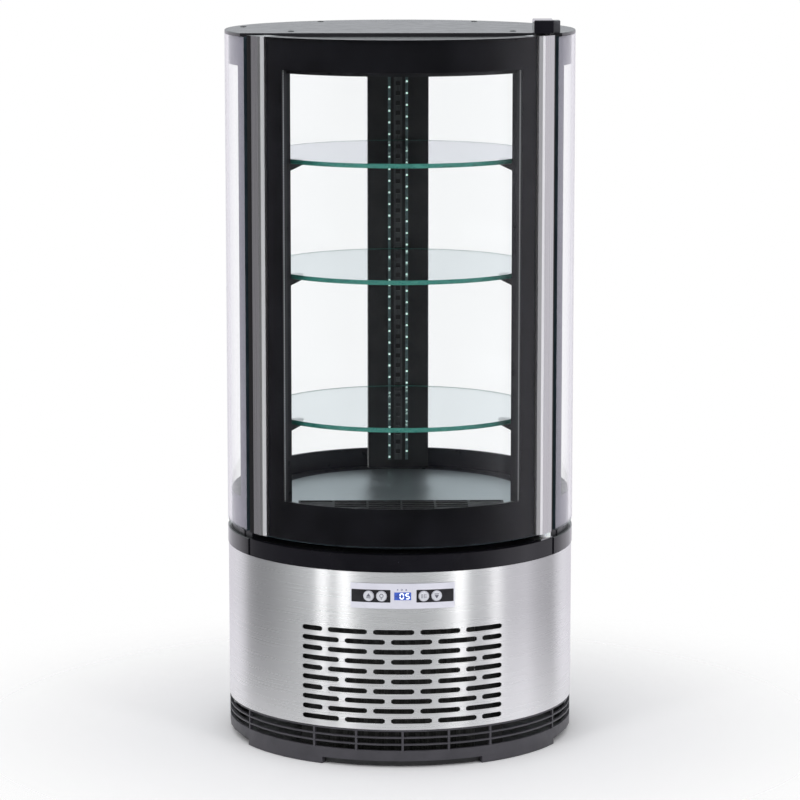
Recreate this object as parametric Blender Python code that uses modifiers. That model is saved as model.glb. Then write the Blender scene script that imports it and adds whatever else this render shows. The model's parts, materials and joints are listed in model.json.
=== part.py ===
"""Round refrigerated display case: glass chamber with a curved door, on a stainless machine base.

Units are metres and +Z is up. The origin is on the floor, on the axis of the round body.
Angles are in degrees, measured from the front (-Y) towards +X, where the door hinge is.
"""

from math import asin, ceil, cos, degrees, hypot, pi, radians, sin

import bmesh
import bpy
from mathutils import Matrix, Vector

# Round body
body_radius = 0.240
seat_gap = 0.0003
overrun = 0.004
facet_angle = 5
base_facet_angle = 7.5
cutter_facet_angle = 15
full_turn = 360
half_turn = 180
quarter_turn = 90
smooth_angle = 30
small_steps = 18
fine_steps = 32
pin_steps = 18
bend_steps = 4
weld_distance = 0.000005

# Louvred base ring and its feet
foot_height = 0.009
base_ring_height = 0.043
base_ring_setback = 0.0012
base_ring_wall = 0.004
base_ring_flange = 0.010
base_ring_flange_thickness = 0.002
base_ring_ledge = 0.009
base_ring_ledge_thickness = 0.003
louvre_rows = 3
louvre_lip = 0.0025
louvre_gap = 0.0073
louvre_bar = 0.0022
louvre_rib = 0.003
louvre_rib_angles = (0, 15.2, 30, 61, 90, 119, 150, 164.8)
foot_start_angle = 27
foot_end_angle = 62
foot_inset = 0.0006

# Pressed base pan
pan_sheet = 0.0015
pan_floor_gap = 0.001
pan_flange = 0.0047

# Stainless shell
shell_setback = 0.0008
shell_sheet = 0.0012
shell_height = 0.2155
shell_flange = 0.033
shell_end_angle = 144
vent_rows = 10
vent_pitch = 0.01355
vent_height = 0.0069
vent_length = 0.056
vent_short_length = 0.0318
vent_spacing = 0.0076
vent_full_slots = 4
vent_above_base = 0.0085
vent_end_steps = 3

# Rear service panel
service_sheet = 0.0009
service_half_angle = 39
service_edge = 0.005
service_vent_rows = 6
service_vent_columns = 3
service_vent_pitch = 0.0205
service_vent_margin = 0.040

# Collar ring between steel and glass
collar_height = 0.023
collar_wall = 0.0085
collar_step = 0.0015
collar_chamfer = 0.001
collar_step_angle = 60.5

# Insulated tub under the deck
tub_well_setback = 0.050
tub_wall = 0.022
tub_floor = 0.018
tub_well_depth = 0.068
tub_ledge_height = 0.042
tub_notch_depth = 0.0005
drain_bore = 0.006
drain_wall = 0.002
drain_length = 0.010
line_bore = 0.007

# Side glass and the liner that carries it
glass_shadow_gap = 0.010
side_glass_height = 0.6715
side_glass_angle = 61.4
outer_pane = 0.005
inner_pane = 0.004
pane_space = 0.0165
liner_ledge_height = 0.0537
liner_lip = 0.005
liner_lip_height = 0.015
header_ledge_drop = 0.0385
header_lip_drop = 0.009

# Door posts, sill and header that the door seals against
seat_setback = 0.0393
seat_thickness = 0.0107
sill_height = 0.0511
header_height = 0.0475
post_start_angle = 51
post_body_angle = 61.5
post_end_angle = 66
block_overlap_angle = 1.5
block_inset = 0.001

# Top housing and plate
ceiling_thickness = 0.0285
top_ledge_setback = 0.0298
top_ledge_thickness = 0.0045
top_plate_thickness = 0.0042
top_plate_chord_share = 0.4354
top_plate_chamfer = 0.0008

# Rear column with the air duct
column_half_width = 0.0435
column_setback = 0.0455
column_wall = 0.003
column_top_gap = 0.0045
duct_opening_height = 0.030
duct_opening_half_width = 0.032
duct_outlet_height = 0.022
ladder_half_width = 0.006
ladder_thickness = 0.002
ladder_hole = 0.0066
ladder_pitch = 0.014
ladder_margin = 0.010
led_offset = 0.0125
led_half_width = 0.002
led_thickness = 0.0015

# Deck plate and return grille
deck_lap = 0.005
deck_sheet = 0.0017
grille_half_width_share = 0.809
grille_rear_share = 0.480
grille_thickness = 0.004
grille_border = 0.003
grille_slot = 0.008
grille_slat = 0.005
grille_divider = 0.003
grille_cells = 6

# Glass shelves and brackets
shelf_post_gap = 0.0035
shelf_setback = 0.001
shelf_thickness = 0.006
shelf_heights = {"upper": 0.474, "middle": 0.3185, "lower": 0.1195}
bracket_angle = 56
bracket_width = 0.010
bracket_reach = 0.027
bracket_plate = 0.0025
bracket_rise = 0.008
bracket_drop = 0.020
bracket_root = 0.012
bracket_tip = 0.003

# Door
door_gap = 0.0095
door_rise = 0.0026
door_glass_setback = 0.003
door_outer_pane = 0.005
door_inner_pane = 0.004
door_thickness = 0.0245
door_end_angle = 59.4
door_profile_angle = 50.5
door_bevel_angle = 53
door_frame_angle = 46.7
door_rail_bottom = 0.0415
door_rail_top = 0.0365
spacer_outer_angle = 46.3
spacer_width = 0.006
grip_groove_angle = 57.2
grip_lip = 0.007
grip_back = 0.005
gasket_outer_angle = 56.5
gasket_width = 0.009
gasket_margin = 0.0085

# Door hinge
pivot_setback = 0.0082
pivot_angle = 57.6
pin_radius = 0.004
pin_clearance = 0.0001
pin_depth = 0.013
bush_radius = 0.008
lower_plate_thickness = 0.002
lower_plate_start_angle = 53
lower_plate_end_angle = 60.2
lower_plate_seat_gap = 0.0023
lower_plate_setback = 0.0025
top_bracket_width = 0.027
top_bracket_front = 0.0105
top_bracket_rear = 0.042
top_bracket_side = 0.008
top_bracket_height = 0.018
top_bracket_bevel = 0.0012
bevel_limit_angle = 40
cover_width = 0.013
cover_rear = 0.052
cover_front = 0.025
cover_drop = 0.0025
cover_overlap_share = 0.25

# Control panel
panel_height = 0.034
panel_half_angle = 16.85
panel_face = 0.0009
panel_drop = 0.0321
panel_body_depth = 0.0105
panel_margin = 0.0038
display_height = 0.0107
display_half_angle = 2.7
display_depth = 0.005
button_radius = 0.0069
button_clearance = 0.0003
button_proud = 0.0008
button_flange = 0.0012
button_flange_thickness = 0.0015
button_back_gap = 0.0006
button_angles = {"up": -10.9, "lamp": -6.75, "defrost": 6.75, "down": 10.9}

# Refrigeration machine in the base
compressor_side = 0.070
compressor_setback = 0.145
compressor_radius = 0.060
compressor_seam = 0.004
compressor_dome = 0.020
compressor_shoulder = 0.007
compressor_foot_width = 0.150
compressor_foot_depth = 0.104
compressor_foot_sheet = 0.003
grommet_radius = 0.008
grommet_height = 0.012
grommet_head = 0.004
grommet_edge = 0.002
terminal_box_width = 0.040
terminal_box_depth = 0.012
terminal_box_height = 0.035
tray_height = 0.020
tray_wall = 0.0016
tray_width = 0.116
tray_depth = 0.090
tray_gap = 0.008
machine_gap = 0.010
condenser_setback = 0.049
condenser_width = 0.196
condenser_depth = 0.034
condenser_fins = 14
condenser_bends = 4
fin_depth = 0.004
fin_width = 0.006
coil_tube_radius = 0.0035
shroud_sheet = 0.0015
shroud_depth = 0.018
fan_radius = 0.062
fan_tip_gap = 0.004
fan_hub_radius = 0.016
fan_depth = 0.016
fan_blades = 5
fan_blade_thickness = 0.0022
fan_blade_pitch = 26
fan_blade_chord = 0.030
motor_radius = 0.021
motor_depth = 0.034
motor_arm = 0.006
motor_arm_thickness = 0.003
shaft_radius = 0.003
shaft_reach = 0.0055
drier_radius = 0.009
drier_length = 0.090
drier_neck = 0.003
copper_radius = 0.004
line_above_middle = 0.020
line_reach = 0.030
line_bend = 0.016

# Evaporator and its fan, in the tub well
evaporator_width = 0.170
evaporator_depth = 0.060
evaporator_front = 0.020
evaporator_lift = 0.006
evaporator_fins = 12
evaporator_bends = 3
chill_fan_share = 0.464
chill_fan_radius = 0.040
chill_fan_hub_radius = 0.012
chill_fan_depth = 0.012
chill_fan_blade_chord = 0.020
chill_motor_radius = 0.017
chill_motor_depth = 0.026
chill_plate_share = 0.863
chill_plate_sheet = 0.0015

# Heights worked out from the pieces, from the floor up
base_top = foot_height + base_ring_height
shell_bottom = base_top + seat_gap
shell_top = shell_bottom + shell_height
collar_bottom = shell_top + seat_gap
collar_top = collar_bottom + collar_height
liner_bottom = collar_top + seat_gap
glass_bottom = collar_top + glass_shadow_gap
glass_top = glass_bottom + side_glass_height
plate_bottom = glass_top + seat_gap
plate_top = plate_bottom + top_plate_thickness
tub_ledge = collar_top + tub_ledge_height
well_floor = collar_bottom - tub_well_depth + tub_floor
well_underside = collar_bottom - tub_well_depth
liner_ledge = liner_bottom + liner_ledge_height
liner_top = liner_ledge + liner_lip_height
header_ledge = glass_top - header_ledge_drop
header_lip = header_ledge - header_lip_drop
sill_top = liner_bottom + sill_height
header_bottom = glass_top - header_height
ceiling_bottom = glass_top - ceiling_thickness
deck_bottom = tub_ledge + seat_gap
deck_top = deck_bottom + deck_sheet
door_bottom = collar_top + door_gap
door_top = glass_top + door_rise
panel_centre = collar_bottom - panel_drop

# Radii worked out from the outside in
base_ring_radius = body_radius - base_ring_setback
shell_radius = body_radius - shell_setback
service_radius = shell_radius + seat_gap
outer_pane_inside = body_radius - outer_pane
liner_radius = outer_pane_inside - seat_gap
inner_pane_outside = outer_pane_inside - pane_space
inner_pane_inside = inner_pane_outside - inner_pane
lip_outside = inner_pane_inside - seat_gap
chamber_radius = lip_outside - liner_lip
tub_well_radius = body_radius - tub_well_setback
well_radius = tub_well_radius - tub_wall
deck_radius = well_radius + deck_lap
grille_half_width = deck_radius * grille_half_width_share
grille_rear = deck_radius * grille_rear_share
seat_radius = body_radius - seat_setback
seat_back = seat_radius - seat_thickness
shelf_radius = seat_back - shelf_post_gap
top_ledge_radius = body_radius - top_ledge_setback
top_plate_chord = body_radius * top_plate_chord_share
column_front = body_radius - column_setback
pivot_radius = body_radius - pivot_setback
lower_plate_inner_radius = seat_radius + lower_plate_seat_gap
door_glass_radius = body_radius - door_glass_setback
door_inside = door_glass_radius - door_thickness
door_space_outside = door_glass_radius - door_outer_pane
door_space_inside = door_inside + door_inner_pane
panel_radius = shell_radius + seat_gap + panel_face
pane_start_angle = post_end_angle + degrees(seat_gap / inner_pane_inside)
block_end_angle = post_end_angle + block_overlap_angle
duct_opening_bottom = liner_bottom + column_wall
machine_floor = pan_floor_gap + pan_sheet + seat_gap
machine_top = well_underside - machine_gap
compressor_top = well_underside - tray_gap - tray_height - seat_gap
compressor_x = -compressor_side
compressor_y = body_radius - compressor_setback
condenser_front = body_radius - condenser_setback
shroud_back = condenser_depth - condenser_front + seat_gap + shroud_depth
fan_centre = Vector((0, shroud_back - shroud_sheet / 2, (machine_floor + machine_top) / 2))
chill_fan_centre = Vector((0, -well_radius * chill_fan_share, (well_floor + tub_ledge) / 2))
chill_plate_half_width = well_radius * chill_plate_share

body_steps = round(full_turn / facet_angle)
base_steps = round(full_turn / base_facet_angle)
object_name = "round_display_case"


def fresh_collection(name):
    collection = bpy.data.collections.new(name)
    bpy.context.scene.collection.children.link(collection)
    return collection


def clear_scene():
    for item in list(bpy.data.objects):
        bpy.data.objects.remove(item, do_unlink=True)


clear_scene()
parts = fresh_collection(object_name)
cutters = fresh_collection("cutters")


def principled(name, color, roughness, metallic=0.0, alpha=1.0):
    made = bpy.data.materials.new(name)
    made.use_nodes = True
    shader = made.node_tree.nodes["Principled BSDF"]
    shader.inputs["Base Color"].default_value = (*color, 1.0)
    shader.inputs["Roughness"].default_value = roughness
    shader.inputs["Metallic"].default_value = metallic
    shader.inputs["Alpha"].default_value = alpha
    return made


finishes = {
    "black_gloss": principled("black_gloss", (0.012, 0.012, 0.014), 0.12),
    "black_satin": principled("black_satin", (0.022, 0.022, 0.024), 0.42),
    "base_plastic": principled("base_plastic", (0.060, 0.056, 0.064), 0.45),
    "dark_steel": principled("dark_steel", (0.10, 0.10, 0.11), 0.45, 0.8),
    "stainless": principled("stainless", (0.62, 0.62, 0.64), 0.28, 1.0),
    "anodised": principled("anodised", (0.55, 0.55, 0.56), 0.32, 1.0),
    "deck_steel": principled("deck_steel", (0.40, 0.43, 0.44), 0.35, 1.0),
    "panel_plastic": principled("panel_plastic", (0.74, 0.74, 0.82), 0.30),
    "button_plastic": principled("button_plastic", (0.62, 0.63, 0.68), 0.35),
    "display": principled("display", (0.10, 0.20, 0.55), 0.10),
    "clear_glass": principled("clear_glass", (0.80, 0.90, 0.88), 0.03, 0.0, 0.30),
    "shelf_glass": principled("shelf_glass", (0.35, 0.65, 0.55), 0.04, 0.0, 0.40),
    "seal_rubber": principled("seal_rubber", (0.03, 0.03, 0.03), 0.70),
    "white_nylon": principled("white_nylon", (0.85, 0.85, 0.86), 0.40),
    "led_strip": principled("led_strip", (0.45, 0.60, 0.60), 0.40),
    "compressor_black": principled("compressor_black", (0.02, 0.02, 0.02), 0.35),
    "copper": principled("copper", (0.72, 0.38, 0.24), 0.30, 1.0),
    "fin_aluminium": principled("fin_aluminium", (0.60, 0.61, 0.62), 0.40, 1.0),
    "fan_plastic": principled("fan_plastic", (0.05, 0.05, 0.05), 0.45),
    "tray_plastic": principled("tray_plastic", (0.55, 0.56, 0.58), 0.50),
}


def polar(radius, angle, height=0.0):
    return Vector((radius * sin(radians(angle)), -radius * cos(radians(angle)), height))


def polar_points(radius, start, end):
    """Points along an arc, close enough for the facets of the round body."""
    steps = max(1, ceil(abs(end - start) / facet_angle))
    return [polar(radius, start + (end - start) * i / steps) for i in range(steps + 1)]


def place(name, mesh, finish=None):
    """A visible piece in the parts collection, or a hidden cutter when it has no finish."""
    item = bpy.data.objects.new(name, mesh)
    if finish is None:
        cutters.objects.link(item)
        item.hide_render = True
        item.display_type = "WIRE"
    else:
        parts.objects.link(item)
        mesh.materials.append(finishes[finish])
        mesh.shade_smooth()
        mesh.set_sharp_from_angle(angle=radians(smooth_angle))
    return item


def mesh_of(bm, name):
    bmesh.ops.recalc_face_normals(bm, faces=bm.faces)
    mesh = bpy.data.meshes.new(name)
    bm.to_mesh(mesh)
    bm.free()
    return mesh


def add_sector(bm, profile, start, end, facet=facet_angle):
    """Spins a closed (radius, height) profile from one angle to another."""
    direction = polar(1, start)
    corners = [bm.verts.new(direction * r + Vector((0, 0, z))) for r, z in profile]
    face = bm.faces.new(corners)
    steps = max(1, ceil(abs(end - start) / facet))
    bmesh.ops.spin(
        bm,
        geom=[face, *face.edges, *corners],
        cent=(0, 0, 0),
        axis=(0, 0, 1),
        angle=radians(end - start),
        steps=steps,
    )


def sector(name, profile, start, end, finish=None):
    bm = bmesh.new()
    add_sector(bm, profile, start, end)
    return place(name, mesh_of(bm, name), finish)


def windows(name, rows):
    """A cutter of one or more coarse sectors, whose curved sides lie outside the wall they cut."""
    bm = bmesh.new()
    for profile, start, end in rows:
        add_sector(bm, profile, start, end, cutter_facet_angle)
    return place(name, mesh_of(bm, name))


def ring(outer, inner, bottom, top):
    return [(outer, top), (outer, bottom), (inner, bottom), (inner, top)]


def turned(name, profile, finish=None, steps=body_steps):
    """A profile turned about +Z by a Screw modifier. It runs down the outer side."""
    mesh = bpy.data.meshes.new(name)
    count = len(profile)
    closed = profile[0][0] > 0 or profile[-1][0] > 0
    edges = [(i, i + 1) for i in range(count - 1)] + ([(count - 1, 0)] if closed else [])
    mesh.from_pydata([(r, 0, z) for r, z in profile], edges, [])
    item = place(name, mesh, finish)
    screw = item.modifiers.new("turn", "SCREW")
    screw.steps = steps
    screw.render_steps = steps
    screw.use_merge_vertices = True
    screw.merge_threshold = weld_distance
    screw.use_smooth_shade = finish is not None
    return item


def add_box(bm, low, high):
    size = Vector(high) - Vector(low)
    middle = (Vector(high) + Vector(low)) / 2
    bmesh.ops.create_cube(bm, size=1, matrix=Matrix.Translation(middle) @ Matrix.Diagonal((*size, 1)))


def box(name, low, high, finish=None):
    bm = bmesh.new()
    add_box(bm, low, high)
    return place(name, mesh_of(bm, name), finish)


def add_cylinder(bm, radius, start, end, segments=small_steps):
    """A cylinder between two points."""
    start, end = Vector(start), Vector(end)
    run = end - start
    turn = run.to_track_quat("Z", "Y").to_matrix().to_4x4()
    bmesh.ops.create_cone(
        bm,
        cap_ends=True,
        segments=segments,
        radius1=radius,
        radius2=radius,
        depth=run.length,
        matrix=Matrix.Translation((start + end) / 2) @ turn,
    )


def cylinder(name, radius, start, end, finish=None, segments=small_steps):
    bm = bmesh.new()
    add_cylinder(bm, radius, start, end, segments)
    return place(name, mesh_of(bm, name), finish)


def mesh_from_curve(curve, name):
    """The mesh of a curve, with its caps welded to its sides."""
    guide = bpy.data.objects.new(name, curve)
    bpy.context.scene.collection.objects.link(guide)
    graph = bpy.context.evaluated_depsgraph_get()
    mesh = bpy.data.meshes.new_from_object(guide.evaluated_get(graph))
    bpy.data.objects.remove(guide, do_unlink=True)
    bm = bmesh.new()
    bm.from_mesh(mesh)
    bmesh.ops.remove_doubles(bm, verts=bm.verts, dist=weld_distance)
    mesh.clear_geometry()
    bmesh.ops.recalc_face_normals(bm, faces=bm.faces)
    bm.to_mesh(mesh)
    bm.free()
    mesh.name = name
    return mesh


def outline_mesh(name, loops, thickness):
    """A flat outline, with any inner loops as holes, extruded to a thickness about Z = 0."""
    curve = bpy.data.curves.new(name, "CURVE")
    curve.dimensions = "2D"
    curve.fill_mode = "BOTH"
    curve.extrude = thickness / 2
    for loop in loops:
        spline = curve.splines.new("POLY")
        spline.points.add(len(loop) - 1)
        for point, spot in zip(spline.points, loop):
            point.co = (spot[0], spot[1], 0, 1)
        spline.use_cyclic_u = True
    return mesh_from_curve(curve, name)


def upright(name, loops, bottom, top, finish=None):
    """An outline in X and Y, standing from one height to another."""
    item = place(name, outline_mesh(name, loops, top - bottom), finish)
    item.data.transform(Matrix.Translation((0, 0, (bottom + top) / 2)))
    return item


def tube(name, points, radius, finish=None):
    """A round tube along points, with closed ends."""
    curve = bpy.data.curves.new(name, "CURVE")
    curve.dimensions = "3D"
    curve.bevel_depth = radius
    curve.bevel_resolution = 2
    curve.use_fill_caps = True
    spline = curve.splines.new("POLY")
    spline.points.add(len(points) - 1)
    for point, spot in zip(spline.points, points):
        point.co = (*spot, 1)
    return place(name, mesh_from_curve(curve, name), finish)


def combine(item, other, operation):
    modifier = item.modifiers.new(operation.lower(), "BOOLEAN")
    modifier.operation = operation
    modifier.solver = "EXACT"
    modifier.object = other


def cut(item, *others):
    for other in others:
        combine(item, other, "DIFFERENCE")


def join(item, *others):
    for other in others:
        combine(item, other, "UNION")


def bevel(item, width, segments=1):
    modifier = item.modifiers.new("edge", "BEVEL")
    modifier.width = width
    modifier.segments = segments
    modifier.limit_method = "ANGLE"
    modifier.angle_limit = radians(bevel_limit_angle)


def hung_on(item, pivot):
    """Parents a piece to an empty without moving it."""
    item.parent = pivot
    item.location = -pivot.location


def base_ring():
    """Louvred plastic ring: a wall with three rows of gaps, on four foot segments."""
    inner = base_ring_radius - base_ring_wall
    ledge_radius = base_ring_radius - base_ring_ledge
    flange_radius = base_ring_radius - base_ring_flange - base_ring_wall
    profile = [
        (base_ring_radius, base_top),
        (base_ring_radius, foot_height),
        (ledge_radius, foot_height),
        (ledge_radius, foot_height + base_ring_ledge_thickness),
        (inner, foot_height + base_ring_ledge_thickness),
        (inner, base_top - base_ring_flange_thickness),
        (flange_radius, base_top - base_ring_flange_thickness),
        (flange_radius, base_top),
    ]
    item = turned("base_ring", profile, "base_plastic", base_steps)

    half_rib = degrees(louvre_rib / base_ring_radius) / 2
    ribs = sorted({a % full_turn for rib in louvre_rib_angles for a in (rib, -rib)} | {half_turn})
    gaps = []
    for row in range(louvre_rows):
        top = base_top - louvre_lip - row * (louvre_gap + louvre_bar)
        cell = ring(base_ring_radius + overrun, inner - overrun, top - louvre_gap, top)
        for start, end in zip(ribs, ribs[1:] + [full_turn]):
            gaps.append((cell, start + half_rib, end - half_rib))
    cut(item, windows("base_louvre_gaps", gaps))

    pad_top = foot_height + base_ring_ledge_thickness / 2
    pad = ring(base_ring_radius - foot_inset, ledge_radius + foot_inset, 0, pad_top)
    quarters = (
        (foot_start_angle, foot_end_angle),
        (-foot_end_angle, -foot_start_angle),
        (half_turn - foot_end_angle, half_turn - foot_start_angle),
        (half_turn + foot_start_angle, half_turn + foot_end_angle),
    )
    bm = bmesh.new()
    for start, end in quarters:
        add_sector(bm, pad, start, end)
    join(item, place("base_feet", mesh_of(bm, "base_feet")))


def base_pan():
    """Pressed steel tray that carries the machine. Its rim hangs on the ring's ledge."""
    wall = base_ring_radius - base_ring_ledge - seat_gap
    rim = wall + pan_flange
    seat = foot_height + base_ring_ledge_thickness + seat_gap
    turned(
        "base_pan",
        [
            (0, pan_floor_gap + pan_sheet),
            (wall - pan_sheet, pan_floor_gap + pan_sheet),
            (wall - pan_sheet, seat + pan_sheet),
            (rim, seat + pan_sheet),
            (rim, seat),
            (wall, seat),
            (wall, pan_floor_gap),
            (0, pan_floor_gap),
        ],
        "dark_steel",
        base_steps,
    )


def add_slot(bm, angle, length, height, z, radius):
    """A round-ended slot, run through the wall at one angle."""
    half = length / 2 - height / 2
    turn = pi / vent_end_steps
    ends = [turn * i - pi / 2 for i in range(vent_end_steps + 1)]
    right = [(half + height / 2 * cos(a), height / 2 * sin(a)) for a in ends]
    left = [(-x, -y) for x, y in right]
    spot = polar(radius, angle, z)
    frame = Matrix.Translation(spot) @ Matrix.Rotation(radians(angle), 4, "Z")
    corners = [bm.verts.new(frame @ Vector((x, overrun, y))) for x, y in right + left]
    face = bm.faces.new(corners)
    swept = bmesh.ops.extrude_face_region(bm, geom=[face], use_keep_orig=True)
    moved = [part for part in swept["geom"] if isinstance(part, bmesh.types.BMVert)]
    bmesh.ops.translate(bm, verts=moved, vec=polar(2 * overrun, angle))


def vent_row(full_first):
    """Start and length of each slot of one row, along the wall, from its middle."""
    lengths = [vent_length] * vent_full_slots
    lengths = lengths + [vent_short_length] if full_first else [vent_short_length] + lengths
    width = sum(lengths) + vent_spacing * (len(lengths) - 1)
    start = -width / 2
    for length in lengths:
        yield start + length / 2, length
        start += length + vent_spacing


def steel_shell():
    """Brushed stainless wrap with ten rows of vent slots and an opening for the control panel."""
    inner = shell_radius - shell_sheet
    flange = shell_radius - shell_flange
    profile = [
        (shell_radius, shell_top),
        (shell_radius, shell_bottom),
        (inner, shell_bottom),
        (inner, shell_top - shell_sheet),
        (flange, shell_top - shell_sheet),
        (flange, shell_top),
    ]
    item = sector("steel_shell", profile, -shell_end_angle, shell_end_angle, "stainless")
    bm = bmesh.new()
    for row in range(vent_rows):
        z = shell_bottom + vent_above_base + vent_height / 2 + row * vent_pitch
        for centre, length in vent_row(row % 2 == 0):
            add_slot(bm, degrees(centre / shell_radius), length, vent_height, z, shell_radius)
    cut(item, place("shell_vents", mesh_of(bm, "shell_vents")))

    low = panel_centre - panel_height / 2 + panel_margin - seat_gap
    high = panel_centre + panel_height / 2 - panel_margin + seat_gap
    edge = panel_half_angle - degrees((panel_margin - seat_gap) / shell_radius)
    hole = ring(shell_radius + overrun, inner - overrun, low, high)
    cut(item, windows("shell_panel_hole", [(hole, -edge, edge)]))


def rear_service_panel():
    """Slotted steel cover over the open back of the shell."""
    profile = ring(
        service_radius + service_sheet, service_radius, shell_bottom + service_edge, shell_top - service_edge
    )
    start, end = half_turn - service_half_angle, half_turn + service_half_angle
    item = sector("rear_service_panel", profile, start, end, "stainless")
    bm = bmesh.new()
    pitch = vent_length + vent_spacing
    for row in range(service_vent_rows):
        z = shell_bottom + service_vent_margin + row * service_vent_pitch
        for column in range(service_vent_columns):
            centre = (column - (service_vent_columns - 1) / 2) * pitch
            angle = half_turn + degrees(centre / service_radius)
            add_slot(bm, angle, vent_length, vent_height, z, service_radius)
    cut(item, place("service_vents", mesh_of(bm, "service_vents")))


def collar_ring():
    """Glossy black ring on the steel, set back a little below the door."""
    inner = body_radius - collar_wall
    profile = [
        (body_radius - collar_chamfer, collar_top),
        (body_radius, collar_top - collar_chamfer),
        (body_radius, collar_bottom),
        (inner, collar_bottom),
        (inner, collar_top),
    ]
    item = turned("collar_ring", profile, "black_gloss")
    step = ring(
        body_radius + overrun, body_radius - collar_step, collar_bottom - overrun, collar_top + overrun
    )
    cut(item, sector("collar_step", step, -collar_step_angle, collar_step_angle))


def insulated_tub():
    """Foam-filled tub with the evaporator well, its flange on the shell and its ledge under the deck."""
    flange = body_radius - collar_wall - seat_gap
    ledge = chamber_radius - seat_gap
    profile = [
        (0, well_floor),
        (well_radius, well_floor),
        (well_radius, tub_ledge),
        (ledge, tub_ledge),
        (ledge, collar_top),
        (flange, collar_top),
        (flange, collar_bottom),
        (tub_well_radius, collar_bottom),
        (tub_well_radius, well_underside),
        (0, well_underside),
    ]
    item = turned("insulated_tub", profile, "black_satin")
    floor = collar_top - tub_notch_depth
    front = ring(ledge + overrun, seat_back - seat_gap, floor, tub_ledge + overrun)
    reach = block_end_angle + degrees(seat_gap / seat_back)
    cut(item, sector("tub_front_rebate", front, -reach, reach))
    side = column_half_width + seat_gap
    cut(
        item,
        box(
            "tub_column_notch",
            (-side, column_front - seat_gap, floor),
            (side, body_radius, tub_ledge + overrun),
        ),
        box(
            "tub_duct_channel",
            (-duct_opening_half_width, well_radius - overrun, duct_opening_bottom),
            (duct_opening_half_width, column_front, duct_opening_bottom + duct_opening_height),
        ),
    )
    drain_low = (compressor_x, compressor_y, well_underside - drain_length)
    drain_high = (compressor_x, compressor_y, well_floor - tub_floor / 2)
    join(item, cylinder("drain_spigot", drain_bore + drain_wall, drain_low, drain_high))
    below = Vector((0, 0, -overrun))
    above = Vector((0, 0, tub_floor))
    line = Vector(copper_route()[-2])
    line_low = Vector((line.x, line.y, well_underside)) + below
    line_high = Vector((line.x, line.y, well_floor)) - below
    cut(
        item,
        cylinder("drain_hole", drain_bore, Vector(drain_low) + below, Vector(drain_high) + above),
        cylinder("line_hole", line_bore, line_low, line_high),
    )


def front_seat(name, end, bottom, top):
    """Solid arc across the front, between the corners under or over the posts."""
    block = ring(liner_radius - block_inset, seat_back, bottom, top)
    return sector(name, block, -end, end)


def front_cut(name, profile):
    """Cutter that clears the door's path between the posts."""
    edge = collar_step_angle + degrees(seat_gap / seat_back)
    return sector(name, profile, -edge, edge)


def liner_ring():
    """Black inner wall below the glass, with the ledge for the panes and the sill under the door."""
    profile = [
        (liner_radius, liner_ledge),
        (liner_radius, liner_bottom),
        (chamber_radius, liner_bottom),
        (chamber_radius, liner_top),
        (lip_outside, liner_top),
        (lip_outside, liner_ledge),
    ]
    item = sector("liner_ring", profile, pane_start_angle, full_turn - pane_start_angle, "black_satin")
    join(item, front_seat("liner_sill", block_end_angle, liner_bottom, sill_top))
    path = ring(body_radius + overrun, seat_radius, liner_bottom - overrun, sill_top + overrun)
    cut(item, front_cut("liner_front_cut", path))
    side = column_half_width + seat_gap
    low = (-side, seat_back, liner_bottom - overrun)
    high = (side, body_radius, liner_top + overrun)
    cut(item, box("liner_column_gap", low, high))


def top_housing():
    """Foam-filled top moulding: ceiling, ledge for the panes, header for the door, front ledge."""
    ledge_bottom = glass_top - top_ledge_thickness
    profile = [
        (0, glass_top),
        (liner_radius, glass_top),
        (liner_radius, header_ledge),
        (lip_outside, header_ledge),
        (lip_outside, header_lip),
        (chamber_radius, header_lip),
        (chamber_radius, ceiling_bottom),
        (0, ceiling_bottom),
    ]
    item = turned("top_housing", profile, "black_satin")
    join(item, front_seat("header_seat", post_end_angle, header_bottom, ceiling_bottom + overrun))
    path = [
        (body_radius + overrun, glass_top + overrun),
        (body_radius + overrun, header_bottom - overrun),
        (seat_radius, header_bottom - overrun),
        (seat_radius, ledge_bottom),
        (top_ledge_radius, ledge_bottom),
        (top_ledge_radius, glass_top + overrun),
    ]
    cut(item, front_cut("header_front_cut", path))
    side = column_half_width + seat_gap
    low = (-side, column_front - seat_gap, header_lip - overrun)
    high = (side, body_radius, glass_top - column_top_gap)
    cut(item, box("housing_column_notch", low, high))


def top_plate():
    """Black plate with a straight front edge, behind the door."""
    profile = [
        (0, plate_top),
        (body_radius - top_plate_chamfer, plate_top),
        (body_radius, plate_top - top_plate_chamfer),
        (body_radius, plate_bottom),
        (0, plate_bottom),
    ]
    item = turned("top_plate", profile, "black_gloss")
    reach = body_radius + overrun
    low = (-reach, -reach, plate_bottom - overrun)
    high = (reach, -top_plate_chord, plate_top + overrun)
    cut(item, box("plate_chord_cut", low, high))


def post(name, side):
    """Black post beside the door: a body behind the glass edge and a flange for the seal."""
    outer = polar_points(seat_radius, post_start_angle, post_body_angle)
    outer += polar_points(liner_radius, post_body_angle, post_end_angle)
    inner = polar_points(seat_back, post_end_angle, post_start_angle)
    loop = [(side * p.x, p.y) for p in outer + inner]
    upright(name, [loop], sill_top + seat_gap, header_bottom - seat_gap, "black_satin")


def side_glass(side_name, side):
    """Outer and inner curved panes of one side, from the post to the rear column."""
    reach = column_half_width + seat_gap
    panes = (
        ("outer", body_radius, outer_pane_inside, side_glass_angle, glass_bottom, glass_top),
        (
            "inner",
            inner_pane_outside,
            inner_pane_inside,
            pane_start_angle,
            liner_ledge + seat_gap,
            header_ledge - seat_gap,
        ),
    )
    for pane, outer, inner, start, bottom, top in panes:
        end = half_turn - degrees(asin(reach / inner))
        first, last = sorted((side * start, side * end))
        sector(f"side_glass_{pane}_{side_name}", ring(outer, inner, bottom, top), first, last, "clear_glass")


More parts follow.
